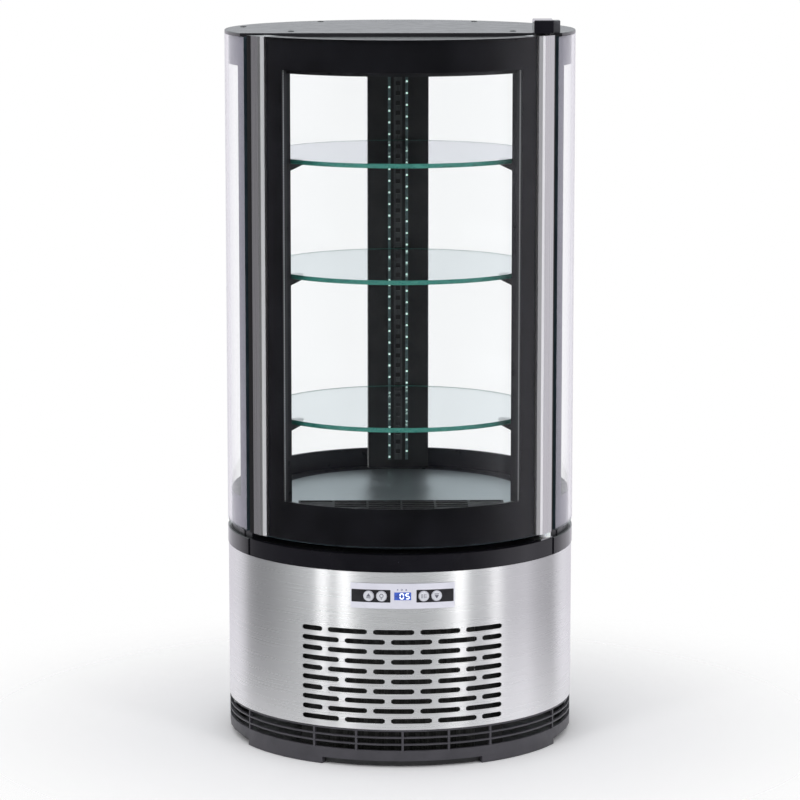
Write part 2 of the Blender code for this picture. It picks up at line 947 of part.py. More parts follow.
def column_arc(radius, half_width):
    reach = degrees(asin(half_width / radius))
    return [tuple(p.xy) for p in polar_points(radius, half_turn - reach, half_turn + reach)]


def rear_column():
    """Hollow rear column: structure, outer cover and cold-air duct in one."""
    outer = column_arc(body_radius - seat_gap, column_half_width)
    outer += [(-column_half_width, column_front), (column_half_width, column_front)]
    inside = column_half_width - column_wall
    inner = column_arc(body_radius - seat_gap - column_wall, inside)
    inner += [(-inside, column_front + column_wall), (inside, column_front + column_wall)]
    top = glass_top - column_top_gap - seat_gap
    item = upright("rear_column", [outer, inner], liner_bottom, top, "black_satin")
    half, near, far = duct_opening_half_width, column_front - overrun, column_front + column_wall + overrun
    mouth_top = duct_opening_bottom + duct_opening_height
    outlet_top = ceiling_bottom - column_wall
    cut(
        item,
        box("column_duct_mouth", (-half, near, duct_opening_bottom), (half, far, mouth_top)),
        box("column_outlet", (-half, near, outlet_top - duct_outlet_height), (half, far, outlet_top)),
    )


def shelf_ladder():
    """Strip of square holes on the column, for the shelf clips."""
    front = column_front - seat_gap - ladder_thickness
    bottom, top = deck_top + ladder_margin, header_lip - ladder_margin
    low = (-ladder_half_width, front, bottom)
    item = box("shelf_ladder", low, (ladder_half_width, column_front - seat_gap, top), "dark_steel")
    count = int((top - bottom - ladder_hole) / ladder_pitch)
    first = (bottom + top - (count - 1) * ladder_pitch) / 2
    bm = bmesh.new()
    half = ladder_hole / 2
    for index in range(count):
        z = first + index * ladder_pitch
        add_box(bm, (-half, front - overrun, z - half), (half, column_front + overrun, z + half))
    cut(item, place("ladder_holes", mesh_of(bm, "ladder_holes")))


def led_strip(name, side):
    low_x, high_x = sorted((side * (led_offset - led_half_width), side * (led_offset + led_half_width)))
    low = (low_x, column_front - seat_gap - led_thickness, deck_top + ladder_margin)
    high = (high_x, column_front - seat_gap, header_lip - ladder_margin)
    box(name, low, high, "led_strip")


def deck_plate():
    """Round grey deck with a cut-out at the front for the return grille."""
    profile = [(0, deck_top), (deck_radius, deck_top), (deck_radius, deck_bottom), (0, deck_bottom)]
    item = turned("deck_plate", profile, "deck_steel")
    low = (-grille_half_width, -deck_radius - overrun, deck_bottom - overrun)
    high = (grille_half_width, -grille_rear, deck_top + overrun)
    cut(item, box("deck_grille_cut", low, high))


def deck_grille():
    """Black slatted grille that the air returns through, flush in the deck's cut-out."""
    half = grille_half_width - seat_gap
    rear = -grille_rear - seat_gap
    reach = degrees(asin(half / deck_radius))
    arc = [tuple(p.xy) for p in polar_points(deck_radius, -reach, reach)]
    outline = arc + [(half, rear), (-half, rear)]
    item = upright("deck_grille", [outline], deck_bottom, deck_bottom + grille_thickness, "black_satin")
    cell = (2 * (half - grille_border) + grille_divider) / grille_cells
    bm = bmesh.new()
    far = rear - grille_border
    while hypot(far - grille_slot, cell) < deck_radius - grille_border:
        for index in range(grille_cells):
            left = -half + grille_border + index * cell
            right = left + cell - grille_divider
            if hypot(max(abs(left), abs(right)), far - grille_slot) > deck_radius - grille_border:
                continue
            low = (left, far - grille_slot, deck_bottom - overrun)
            add_box(bm, low, (right, far, deck_bottom + grille_thickness + overrun))
        far -= grille_slot + grille_slat
    cut(item, place("grille_slots", mesh_of(bm, "grille_slots")))


def shelf_underside(level):
    return deck_top + shelf_heights[level] - shelf_thickness


def glass_shelf(level):
    bottom = shelf_underside(level)
    top = bottom + shelf_thickness
    profile = [
        (0, top),
        (shelf_radius, top),
        (shelf_radius, bottom),
        (0, bottom),
    ]
    item = turned(f"shelf_{level}", profile, "shelf_glass")
    item.location.y = shelf_setback


def bracket_mesh():
    """Side view of a shelf bracket, extruded to its width. Its back is at X = 0."""
    loop = [
        (0, bracket_rise),
        (0, -bracket_drop),
        (-bracket_plate, -bracket_root),
        (-bracket_reach, -bracket_tip),
        (-bracket_reach, 0),
        (-bracket_plate, 0),
        (-bracket_plate, bracket_rise),
    ]
    mesh = outline_mesh("shelf_bracket", [loop], bracket_width)
    mesh.transform(Matrix.Rotation(pi / 2, 4, "X"))
    mesh.materials.append(finishes["black_satin"])
    return mesh


def shelf_brackets(level, mesh):
    """Two side brackets on the posts and a clip on the ladder, below one shelf."""
    top = shelf_underside(level) - seat_gap
    column_back = column_front - 2 * seat_gap - ladder_thickness
    spots = (
        ("left", -bracket_angle, seat_back - seat_gap),
        ("right", bracket_angle, seat_back - seat_gap),
        ("rear", half_turn, column_back),
    )
    for name, angle, radius in spots:
        item = bpy.data.objects.new(f"shelf_bracket_{level}_{name}", mesh)
        parts.objects.link(item)
        item.location = polar(radius, angle, top)
        item.rotation_euler.z = radians(angle - quarter_turn)


def control_bezel():
    """Curved pale panel over the opening in the steel, with a body that holds the buttons."""
    inner = shell_radius + seat_gap
    low, high = panel_centre - panel_height / 2, panel_centre + panel_height / 2
    face = ring(panel_radius, inner, low, high)
    item = sector("control_bezel", face, -panel_half_angle, panel_half_angle, "panel_plastic")
    body_angle = panel_half_angle - degrees(panel_margin / shell_radius)
    body = ring(
        (panel_radius + inner) / 2, inner - panel_body_depth, low + panel_margin, high - panel_margin
    )
    join(item, sector("bezel_body", body, -body_angle, body_angle))
    window = ring(
        panel_radius + overrun,
        inner - panel_body_depth - overrun,
        panel_centre - display_height / 2,
        panel_centre + display_height / 2,
    )
    bm = bmesh.new()
    for angle in button_angles.values():
        start = polar(inner - panel_body_depth - overrun, angle, panel_centre)
        add_cylinder(bm, button_radius, start, polar(panel_radius + overrun, angle, panel_centre))
    cut(
        item,
        windows("bezel_window", [(window, -display_half_angle, display_half_angle)]),
        place("bezel_button_holes", mesh_of(bm, "bezel_button_holes")),
    )


def display_window():
    edge = display_half_angle - degrees(seat_gap / panel_radius)
    profile = ring(
        panel_radius - seat_gap,
        panel_radius - seat_gap - display_depth,
        panel_centre - display_height / 2 + seat_gap,
        panel_centre + display_height / 2 - seat_gap,
    )
    sector("display_window", profile, -edge, edge, "display")


def button(name, angle):
    """Round push button: a stem in the bezel and a flange behind it. Its origin is on its axis."""
    back = shell_radius + seat_gap - panel_body_depth - button_back_gap - button_flange_thickness
    length = panel_radius + button_proud - back
    stem = button_radius - button_clearance
    flange = button_radius + button_flange
    profile = [
        (0, length),
        (stem, length),
        (stem, button_flange_thickness),
        (flange, button_flange_thickness),
        (flange, 0),
        (0, 0),
    ]
    item = turned(name, profile, "button_plastic", small_steps)
    item.location = polar(back, angle, panel_centre)
    item.rotation_euler = (pi / 2, 0, radians(angle))


def curved_frame(name, outer_radius, inner_radius, angle, bottom, top, width, finish):
    """A closed frame bent round the door: a curved slab with a curved window."""
    item = sector(name, ring(outer_radius, inner_radius, bottom, top), -angle, angle, finish)
    window = ring(outer_radius + overrun, inner_radius - overrun, bottom + width, top - width)
    inside = angle - degrees(width / inner_radius)
    cut(item, windows(f"{name}_window", [(window, -inside, inside)]))
    return item


def door_profile_loop(grooved):
    """Section of an aluminium door stile, from its bevel round to the inside face."""
    loop = [polar(door_glass_radius, door_profile_angle)]
    loop.append(polar(body_radius - seat_gap, door_bevel_angle))
    loop.append(polar(body_radius - seat_gap, door_end_angle))
    if grooved:
        lip = body_radius - grip_lip
        back = door_inside + grip_back
        loop.append(polar(lip, door_end_angle))
        loop.append(polar(lip, grip_groove_angle))
        loop.append(polar(back, grip_groove_angle))
        loop.append(polar(back, door_end_angle))
    return loop + polar_points(door_inside, door_end_angle, door_profile_angle)


def door(pivot):
    """Curved double-glazed door between a grooved handle profile and the hinge profile."""
    made = []
    loop = [(-p.x, p.y) for p in door_profile_loop(True)]
    made.append(upright("door_handle_profile", [loop], door_bottom, door_top, "anodised"))
    loop = [(p.x, p.y) for p in door_profile_loop(False)]
    hinge_profile = upright("door_hinge_profile", [loop], door_bottom, door_top, "anodised")
    bore = pin_radius + pin_clearance
    depth = pin_depth + seat_gap
    bm = bmesh.new()
    for end, run in ((door_bottom, depth), (door_top, -depth)):
        start = Vector((pivot.location.x, pivot.location.y, end - run / abs(run) * overrun))
        add_cylinder(bm, bore, start, Vector((pivot.location.x, pivot.location.y, end + run)))
    cut(hinge_profile, place("hinge_bores", mesh_of(bm, "hinge_bores")))
    made.append(hinge_profile)

    glass_angle = door_profile_angle - degrees(seat_gap / door_inside)
    made.append(
        sector(
            "door_glass_outer",
            ring(door_glass_radius, door_space_outside, door_bottom, door_top),
            -glass_angle,
            glass_angle,
            "clear_glass",
        )
    )
    inner_angle = door_frame_angle - degrees(seat_gap / door_inside)
    rail_low, rail_high = door_bottom + door_rail_bottom, door_top - door_rail_top
    made.append(
        sector(
            "door_glass_inner",
            ring(door_space_inside, door_inside, rail_low + seat_gap, rail_high - seat_gap),
            -inner_angle,
            inner_angle,
            "clear_glass",
        )
    )
    frame = sector(
        "door_frame",
        ring(door_space_outside - seat_gap, door_inside, door_bottom, door_top),
        -glass_angle,
        glass_angle,
        "black_satin",
    )
    window = ring(door_glass_radius, door_inside - overrun, rail_low, rail_high)
    cut(frame, windows("door_frame_window", [(window, -door_frame_angle, door_frame_angle)]))
    made.append(frame)
    made.append(
        curved_frame(
            "door_spacer",
            door_space_outside - seat_gap,
            door_space_inside + seat_gap,
            spacer_outer_angle,
            rail_low + seat_gap,
            rail_high - seat_gap,
            spacer_width,
            "anodised",
        )
    )
    made.append(
        curved_frame(
            "door_gasket",
            door_inside - seat_gap,
            seat_radius + seat_gap,
            gasket_outer_angle,
            door_bottom + gasket_margin,
            door_top - gasket_margin,
            gasket_width,
            "seal_rubber",
        )
    )
    for item in made:
        hung_on(item, pivot)


def hinge_pivot():
    pivot = bpy.data.objects.new("door_pivot", None)
    parts.objects.link(pivot)
    pivot.location = polar(pivot_radius, pivot_angle)
    return pivot


def lower_hinge(pivot):
    """Steel plate with the lower pin, and the white bush that the door stands on."""
    plate_low = collar_top + seat_gap
    plate_high = plate_low + lower_plate_thickness
    outer = body_radius - lower_plate_setback
    item = sector(
        "hinge_bracket_lower",
        ring(outer, lower_plate_inner_radius, plate_low, plate_high),
        lower_plate_start_angle,
        lower_plate_end_angle,
        "dark_steel",
    )
    axis = Vector((pivot.location.x, pivot.location.y, 0))
    low = axis + Vector((0, 0, plate_low + lower_plate_thickness / 2))
    high = axis + Vector((0, 0, door_bottom + pin_depth))
    join(item, cylinder("lower_pin", pin_radius, low, high))

    bush_low, bush_high = plate_high + seat_gap, door_bottom - seat_gap
    bore = pin_radius + pin_clearance
    bush = turned("hinge_bush", ring(bush_radius, bore, bush_low, bush_high), "white_nylon", fine_steps)
    bush.location = axis


def top_hinge(pivot):
    """Black bracket on the top plate that holds the upper pin over the door."""
    x, y = pivot.location.x, pivot.location.y
    bottom = plate_top + seat_gap
    top = bottom + top_bracket_height
    high_x = x + top_bracket_side
    low = (high_x - top_bracket_width, y - top_bracket_front, bottom)
    item = box("hinge_bracket_top", low, (high_x, y + top_bracket_rear, top), "black_gloss")
    bevel(item, top_bracket_bevel)
    overlap = cover_width * cover_overlap_share
    low = (high_x - overlap, y + cover_front, bottom)
    high = (high_x - overlap + cover_width, y + cover_rear, top - cover_drop)
    pin_low = Vector((x, y, door_top - pin_depth))
    pin_high = Vector((x, y, bottom + top_bracket_height / 2))
    join(item, box("top_hinge_cover", low, high), cylinder("top_pin", pin_radius, pin_low, pin_high))


def return_bends(name, low, high, rows):
    """Half-round return bends that stand out of both sides of a coil block."""
    pitch = (high[2] - low[2]) / (2 * rows + 2)
    middle_x, middle_y = (low[0] + high[0]) / 2, (low[1] + high[1]) / 2
    half = (high[0] - low[0]) / 2
    made = []
    for side in (-1, 1):
        for row in range(rows):
            z = low[2] + pitch * (2 * row + 1) + (pitch if side > 0 else 0)
            root = middle_x + side * (half - overrun)
            points = [(root, middle_y, z)]
            for step in range(bend_steps + 1):
                angle = pi * step / bend_steps - pi / 2
                x = middle_x + side * (half + pitch / 2 * cos(angle))
                points.append((x, middle_y, z + pitch / 2 + pitch / 2 * sin(angle)))
            points.append((root, middle_y, z + pitch))
            made.append(tube(f"{name}_bend_{side}_{row}", points, coil_tube_radius))
    return made


def coil_block(name, low, high, fins, bends):
    """A finned heat exchanger: a block grooved between its fins, with return bends at its sides."""
    item = box(name, low, high, "fin_aluminium")
    pitch = (high[0] - low[0]) / fins
    gap = pitch - fin_width
    near, far = low[1] - overrun, low[1] + fin_depth
    bm = bmesh.new()
    for index in range(1, fins):
        x = low[0] + index * pitch
        add_box(bm, (x - gap / 2, near, low[2] - overrun), (x + gap / 2, far, high[2] + overrun))
    cut(item, place(f"{name}_grooves", mesh_of(bm, f"{name}_grooves")))
    join(item, *return_bends(name, low, high, bends))


def condenser():
    """Condenser block behind the vents."""
    half = condenser_width / 2
    low = (-half, -condenser_front, machine_floor)
    high = (half, condenser_depth - condenser_front, machine_top)
    coil_block("condenser_coil", low, high, condenser_fins, condenser_bends)


def fan_shroud():
    """Sheet box behind the condenser with a round mouth for the fan."""
    half = condenser_width / 2
    front = condenser_depth - condenser_front + seat_gap
    back = front + shroud_depth
    item = box("fan_shroud", (-half, front, machine_floor), (half, back, machine_top), "dark_steel")
    inside = box(
        "shroud_inside",
        (-half + shroud_sheet, front - overrun, machine_floor + shroud_sheet),
        (half - shroud_sheet, back - shroud_sheet, machine_top - shroud_sheet),
    )
    near = Vector((fan_centre.x, back - shroud_sheet - overrun, fan_centre.z))
    far = Vector((fan_centre.x, back + overrun, fan_centre.z))
    cut(item, inside, cylinder("shroud_mouth", fan_radius + fan_tip_gap, near, far, segments=fine_steps))


def fan(name, radius, hub, depth, chord, centre):
    """Axial fan on its own origin, turning about Y: a hub with pitched blades and a shaft bore."""
    item = cylinder(name, hub, (0, -depth / 2, 0), (0, depth / 2, 0), "fan_plastic", small_steps)
    bm = bmesh.new()
    for index in range(fan_blades):
        turn = Matrix.Rotation(radians(full_turn) * index / fan_blades, 4, "Y")
        pitched = turn @ Matrix.Rotation(radians(fan_blade_pitch), 4, "Z")
        root = hub - fan_blade_thickness
        size = Matrix.Diagonal((chord, fan_blade_thickness, radius - root, 1))
        middle = Matrix.Translation((0, 0, (root + radius) / 2))
        bmesh.ops.create_cube(bm, size=1, matrix=pitched @ middle @ size)
    blades = place(f"{name}_blades", mesh_of(bm, f"{name}_blades"))
    bore_radius = shaft_radius + pin_clearance
    bore = cylinder(f"{name}_bore", bore_radius, (0, 0, 0), (0, depth, 0), segments=pin_steps)
    join(item, blades)
    cut(item, bore)
    blades.parent = item
    bore.parent = item
    item.location = centre


def fan_motor(name, centre, hub_depth, blade_radius, radius, depth, mount_y, plate=None):
    """Motor behind a fan, on a cross arm with two legs, its shaft in the hub."""
    face = centre.y + hub_depth / 2 + pin_clearance
    arm_y = face + depth / 2
    item = cylinder(name, radius, (0, face, centre.z), (0, face + depth, centre.z), "dark_steel")
    half = blade_radius + fan_tip_gap + motor_arm
    arm_back = arm_y + motor_arm_thickness
    low_z, high_z = centre.z - motor_arm / 2, centre.z + motor_arm / 2
    arm = box(f"{name}_arm", (-half, arm_y, low_z), (half, arm_back, high_z))
    leg_low, leg_high = low_z - motor_arm_thickness, high_z + motor_arm_thickness
    inner = half - motor_arm
    legs = (
        box(f"{name}_leg_left", (-half, mount_y, leg_low), (-inner, arm_back, leg_high)),
        box(f"{name}_leg_right", (inner, mount_y, leg_low), (half, arm_back, leg_high)),
    )
    start, end = (0, face - shaft_reach, centre.z), (0, face + motor_arm, centre.z)
    join(item, arm, *legs, cylinder(f"{name}_shaft", shaft_radius, start, end, segments=pin_steps))
    if plate:
        join(item, plate)


def condenser_fan_motor():
    """Condenser fan motor, held off the shroud."""
    mount = fan_centre.y + shroud_sheet / 2 + seat_gap
    fan_motor(
        "condenser_fan_motor", fan_centre, fan_depth, fan_radius, motor_radius, motor_depth, mount
    )


def evaporator_fan_motor():
    """Evaporator fan motor, on the bulkhead that parts the return air from the coil."""
    centre = chill_fan_centre
    half, back = chill_plate_half_width, centre.y + chill_plate_sheet / 2
    plate = box(
        "chill_plate",
        (-half, centre.y - chill_plate_sheet / 2, well_floor + seat_gap),
        (half, back, tub_ledge - evaporator_lift),
    )
    near, far = centre - Vector((0, overrun, 0)), centre + Vector((0, overrun, 0))
    cut(plate, cylinder("chill_mouth", chill_fan_radius + fan_tip_gap, near, far, segments=fine_steps))
    mount = centre.y
    fan_motor(
        "evaporator_fan_motor",
        centre,
        chill_fan_depth,
        chill_fan_radius,
        chill_motor_radius,
        chill_motor_depth,
        mount,
        plate,
    )


def compressor():
    """Hermetic compressor: a welded can on a foot plate with four rubber grommets."""
    plate_low = machine_floor + grommet_height
    plate_high = plate_low + compressor_foot_sheet
    middle = (plate_high + compressor_top) / 2
    seam = compressor_radius + compressor_seam
    lift = compressor_seam / 2
    profile = [
        (0, compressor_top),
        (compressor_radius - compressor_dome, compressor_top),
        (compressor_radius - compressor_shoulder, compressor_top - compressor_shoulder),
        (compressor_radius, compressor_top - compressor_dome),
        (compressor_radius, middle + lift),
        (seam, middle + lift),
        (seam, middle - lift),
        (compressor_radius, middle - lift),
        (compressor_radius, plate_high + compressor_dome),
        (compressor_radius - compressor_shoulder, plate_high + compressor_shoulder),
        (compressor_radius - compressor_dome, plate_low + compressor_foot_sheet / 2),
        (0, plate_low + compressor_foot_sheet / 2),
    ]
    item = turned("compressor", profile, "compressor_black", fine_steps)
    item.location = (compressor_x, compressor_y, 0)
    half_x, half_y = compressor_foot_width / 2, compressor_foot_depth / 2
    foot = box(
        "compressor_foot",
        (compressor_x - half_x, compressor_y - half_y, plate_low),
        (compressor_x + half_x, compressor_y + half_y, plate_high),
    )
    half = terminal_box_width / 2
    can_back = compressor_y + compressor_radius
    terminal_low = middle + compressor_seam
    terminal = box(
        "terminal_box",
        (compressor_x - half, can_back - terminal_box_depth, terminal_low),
        (compressor_x + half, can_back + terminal_box_depth, terminal_low + terminal_box_height),
    )
    bm = bmesh.new()
    for side_x in (-1, 1):
        for side_y in (-1, 1):
            x = compressor_x + side_x * (half_x - grommet_radius - grommet_edge)
            y = compressor_y + side_y * (half_y - grommet_radius - grommet_edge)
            low, high = (x, y, machine_floor), (x, y, plate_high + grommet_head)
            add_cylinder(bm, grommet_radius, low, high, pin_steps)
    join(item, foot, terminal, place("compressor_grommets", mesh_of(bm, "compressor_grommets")))


def drip_tray():
    """Evaporation tray on the hot compressor, under the drain."""
    bottom = compressor_top + seat_gap
    top = bottom + tray_height
    half_x, half_y = tray_width / 2, tray_depth / 2
    low = Vector((compressor_x - half_x, compressor_y - half_y, bottom))
    high = Vector((compressor_x + half_x, compressor_y + half_y, top))
    item = box("drip_tray", low, high, "tray_plastic")
    wall = Vector((tray_wall, tray_wall, 0))
    floor, rim = Vector((0, 0, tray_wall)), Vector((0, 0, overrun))
    cut(item, box("tray_inside", low + wall + floor, high - wall + rim))


def filter_drier():
    """Copper filter drier standing beside the condenser's return bends."""
    pitch = (machine_top - machine_floor) / (2 * condenser_bends + 2)
    bends = condenser_width / 2 + pitch / 2 + coil_tube_radius
    shoulder = drier_radius - drier_neck
    top = machine_floor + drier_length
    profile = [
        (0, top),
        (drier_neck, top),
        (drier_neck, top - shoulder),
        (drier_radius, top - 2 * shoulder),
        (drier_radius, machine_floor + 2 * shoulder),
        (drier_neck, machine_floor + shoulder),
        (drier_neck, machine_floor),
        (0, machine_floor),
    ]
    item = turned("filter_drier", profile, "copper", small_steps)
    item.location = (bends + seat_gap + drier_radius, condenser_depth / 2 - condenser_front, 0)


def copper_route():
    """Suction line: out of the compressor's side, up beside it and through the tub floor."""
    x = compressor_x + compressor_radius + seat_gap
    z = (machine_floor + compressor_top) / 2 + line_above_middle
    rise_x = x + line_reach
    coil_y = evaporator_front + evaporator_depth + copper_radius + seat_gap
    points = [(x, compressor_y, z)]
    for step in range(bend_steps + 1):
        angle = pi / 2 * step / bend_steps
        bend_x = rise_x - line_bend + line_bend * sin(angle)
        points.append((bend_x, compressor_y, z + line_bend - line_bend * cos(angle)))
    points.append((rise_x, coil_y, well_underside - line_bend))
    points.append((rise_x, coil_y, well_floor + line_bend))
    return points


def copper_line():
    tube("copper_line", copper_route(), copper_radius, "copper")


def evaporator():
    """Evaporator block standing in the tub well."""
    half = evaporator_width / 2
    low = (-half, evaporator_front, well_floor + seat_gap)
    high = (half, evaporator_front + evaporator_depth, tub_ledge - evaporator_lift)
    coil_block("evaporator_coil", low, high, evaporator_fins, evaporator_bends)


def base_section():
    base_ring()
    base_pan()
    steel_shell()
    rear_service_panel()
    collar_ring()
    control_bezel()
    display_window()
    for name, angle in button_angles.items():
        button(f"button_{name}", angle)


def machine_section():
    condenser()
    fan_shroud()
    fan("condenser_fan", fan_radius, fan_hub_radius, fan_depth, fan_blade_chord, fan_centre)
    condenser_fan_motor()
    compressor()
    drip_tray()
    filter_drier()
    copper_line()


def cold_section():
    insulated_tub()
    evaporator()
    chill_sizes = (chill_fan_radius, chill_fan_hub_radius, chill_fan_depth, chill_fan_blade_chord)
    fan("evaporator_fan", *chill_sizes, chill_fan_centre)
    evaporator_fan_motor()
    liner_ring()
    rear_column()
    shelf_ladder()
    led_strip("led_strip_left", -1)
    led_strip("led_strip_right", 1)
    deck_plate()
    deck_grille()
    shared = bracket_mesh()
    for level in shelf_heights:
        glass_shelf(level)
        shelf_brackets(level, shared)


def glass_section():
    post("post_left", -1)
    post("post_right", 1)
    side_glass("left", -1)
    side_glass("right", 1)
    top_housing()
    top_plate()


def door_section():
    pivot = hinge_pivot()
    door(pivot)
    lower_hinge(pivot)
    top_hinge(pivot)


base_section()
machine_section()
cold_section()
glass_section()
door_section()
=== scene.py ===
"""Looks of the round refrigerated display case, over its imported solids.

Sections follow the case as it is put together, from the floor up. Metres, with +Z up and the
front towards -Y. Angles are in degrees from the front towards +X, where the door is hinged.
"""

import json
from bisect import bisect_left
from math import atan2, cos, degrees, pi, radians, sin

import bmesh
import bpy
from mathutils import Matrix, Vector

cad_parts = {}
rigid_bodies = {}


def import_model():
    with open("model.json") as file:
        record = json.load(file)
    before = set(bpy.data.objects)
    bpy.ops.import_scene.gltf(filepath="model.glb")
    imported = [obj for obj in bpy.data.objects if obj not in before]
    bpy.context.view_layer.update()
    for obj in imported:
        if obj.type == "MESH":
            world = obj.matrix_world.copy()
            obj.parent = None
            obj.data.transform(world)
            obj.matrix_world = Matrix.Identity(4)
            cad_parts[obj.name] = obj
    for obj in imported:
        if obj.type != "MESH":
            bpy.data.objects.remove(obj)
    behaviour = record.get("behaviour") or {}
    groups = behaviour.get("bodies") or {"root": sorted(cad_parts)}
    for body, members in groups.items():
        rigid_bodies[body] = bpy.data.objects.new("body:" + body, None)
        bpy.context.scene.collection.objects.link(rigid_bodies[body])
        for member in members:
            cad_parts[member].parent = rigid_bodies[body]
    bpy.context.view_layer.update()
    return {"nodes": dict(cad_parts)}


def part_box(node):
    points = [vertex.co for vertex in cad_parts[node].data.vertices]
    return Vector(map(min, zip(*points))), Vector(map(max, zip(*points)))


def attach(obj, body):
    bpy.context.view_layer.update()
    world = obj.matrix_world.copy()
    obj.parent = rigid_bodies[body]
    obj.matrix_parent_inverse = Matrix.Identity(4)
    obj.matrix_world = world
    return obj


for leftover in list(bpy.data.objects):
    bpy.data.objects.remove(leftover, do_unlink=True)
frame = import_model()
solids = frame["nodes"]


# Base ring
# A louvred ring moulded in charcoal ABS, with a fine spark-eroded texture on its skin.
# It stands on four foot segments and carries everything above it.
def shader_of(finish):
    """The one shader of a finish."""
    return finish.node_tree.nodes["Principled BSDF"]


def new_finish(name, colour, roughness, metallic=0.0, **sockets):
    """A node material of one shader. Further sockets of the shader go by their own names."""
    made = bpy.data.materials.new(name)
    made.use_nodes = True
    shader = shader_of(made)
    shader.inputs["Base Color"].default_value = (*colour, 1)
    shader.inputs["Roughness"].default_value = roughness
    shader.inputs["Metallic"].default_value = metallic
    for socket, value in sockets.items():
        shader.inputs[socket.replace("_", " ")].default_value = value
    return made


def own_metres(finish):
    """A spot's place in the piece's own metres."""
    return finish.node_tree.nodes.new("ShaderNodeTexCoord").outputs["Object"]


def grain(finish, scale, stretch=(1, 1, 1), detail=2.0):
    """Noise in the piece's own metres, drawn out along some axes. Gives its output socket."""
    tree = finish.node_tree
    spread = tree.nodes.new("ShaderNodeMapping")
    noise = tree.nodes.new("ShaderNodeTexNoise")
    spread.inputs["Scale"].default_value = stretch
    noise.inputs["Scale"].default_value = scale
    noise.inputs["Detail"].default_value = detail
    tree.links.new(own_metres(finish), spread.inputs["Vector"])
    tree.links.new(spread.outputs["Vector"], noise.inputs["Vector"])
    return noise.outputs["Fac"]


def colours(finish, pattern, dark, light, low=0.32, high=0.68):
    """Runs the colour from dark to light over a pattern."""
    tree = finish.node_tree
    ramp = tree.nodes.new("ShaderNodeValToRGB")
    first, last = ramp.color_ramp.elements
    first.position, last.position = low, high
    first.color, last.color = (*dark, 1), (*light, 1)
    tree.links.new(pattern, ramp.inputs["Fac"])
    tree.links.new(ramp.outputs["Color"], shader_of(finish).inputs["Base Color"])


def feed(tree, socket, value):
    """Links another node's output to a socket, or sets a bare value on it."""
    if isinstance(value, bpy.types.NodeSocket):
        tree.links.new(value, socket)
    else:
        socket.default_value = value


def wired(tree, kind, operation, *values, out="Value"):
    """One node, its sockets fed in turn. Gives one of its output sockets."""
    step = tree.nodes.new(kind)
    if operation:
        step.operation = operation
    for socket, value in zip(step.inputs, values):
        feed(tree, socket, value)
    return step.outputs[out]


def gloss(finish, pattern, smooth, rough):
    """Runs the roughness between two values over a pattern."""
    tree = finish.node_tree
    low, high = 0.3, 0.7
    spread = wired(tree, "ShaderNodeMapRange", None, pattern, low, high, smooth, rough, out="Result")
    tree.links.new(spread, shader_of(finish).inputs["Roughness"])


def relief(finish, pattern, depth, strength=1.0):
    """Raises the surface by a pattern, with its depth in metres."""
    tree = finish.node_tree
    bump = tree.nodes.new("ShaderNodeBump")
    bump.inputs["Strength"].default_value = strength
    bump.inputs["Distance"].default_value = depth
    tree.links.new(pattern, bump.inputs["Height"])
    tree.links.new(bump.outputs["Normal"], shader_of(finish).inputs["Normal"])


def corner_key(spot):
    """A corner's place to a hundredth of a millimetre, shared by the facets that meet there."""
    return tuple(round(value, 5) for value in spot)


def dress(name, finish, turned=False, rim=None, on_rim=None, crease=30):
    """Gives a solid its finish, and shading normals that follow its curved walls.

    A turned solid takes them from the case's own axis, other solids from the facets that meet.
    A rim is a second finish, for the faces that on_rim picks out.
    """
    mesh = solids[name].data
    mesh.materials.clear()
    mesh.materials.append(finish)
    if rim:
        mesh.materials.append(rim)
        for face in mesh.polygons:
            face.material_index = int(on_rim(face))
    same_way, wall_slack = 0.9999, 4.5
    limit, wall = cos(radians(crease)), cos(radians(wall_slack))
    meeting = {}
    for face in mesh.polygons:
        for index in face.vertices:
            found = meeting.setdefault(corner_key(mesh.vertices[index].co), [])
            if all(face.normal.dot(other) < same_way for other in found):
                found.append(face.normal.copy())
    normals = []
    for face in mesh.polygons:
        for index in face.vertices:
            spot = mesh.vertices[index].co
            radial = Vector((spot.x, spot.y, 0)).normalized()
            facing = face.normal.dot(radial)
            if turned and abs(facing) > wall:
                normals.append(radial * (1 if facing > 0 else -1))
                continue
            near = [other for other in meeting[corner_key(spot)] if other.dot(face.normal) > limit]
            normals.append(sum(near, Vector()).normalized() if near else face.normal.copy())
    mesh.shade_smooth()
    mesh.normals_split_custom_set(normals)


moulded_charcoal = new_finish("moulded_charcoal", (0.045, 0.042, 0.050), 0.42)
colours(moulded_charcoal, grain(moulded_charcoal, 40), (0.040, 0.038, 0.046), (0.054, 0.051, 0.061))
gloss(moulded_charcoal, grain(moulded_charcoal, 90), 0.36, 0.50)
relief(moulded_charcoal, grain(moulded_charcoal, 1400, detail=1.0), 0.00006)
dress("base_ring", moulded_charcoal, turned=True)


# Base pan
# Pressed sheet steel under black powder paint, which is thin and slightly rough. Its near-black colour is
# also painted shade for the dim inside of the base.
# It hangs on the ring's inner ledge and carries the compressor and the condenser.
pan_paint_and_shade = new_finish("pan_paint_and_shade", (0.020, 0.020, 0.021), 0.52)
colours(pan_paint_and_shade, grain(pan_paint_and_shade, 35, detail=4.0), (0.015, 0.015, 0.016), (0.027, 0.027, 0.028))
gloss(pan_paint_and_shade, grain(pan_paint_and_shade, 60), 0.44, 0.62)
relief(pan_paint_and_shade, grain(pan_paint_and_shade, 800), 0.00008)
dress("base_pan", pan_paint_and_shade, turned=True)


# Steel shell
# Stainless sheet, belt brushed round the case so that lamps draw out into upright streaks.
# Rows of round-ended vent slots are punched in it before it is rolled.
def brushed(finish, fine, coarse, stretch, dark, light, smooth, rough):
    """Brush lines: colour and gloss from grains drawn out along the belt's way."""
    colours(finish, grain(finish, fine, stretch, detail=4.0), dark, light, 0.25, 0.75)
    gloss(finish, grain(finish, coarse, stretch), smooth, rough)


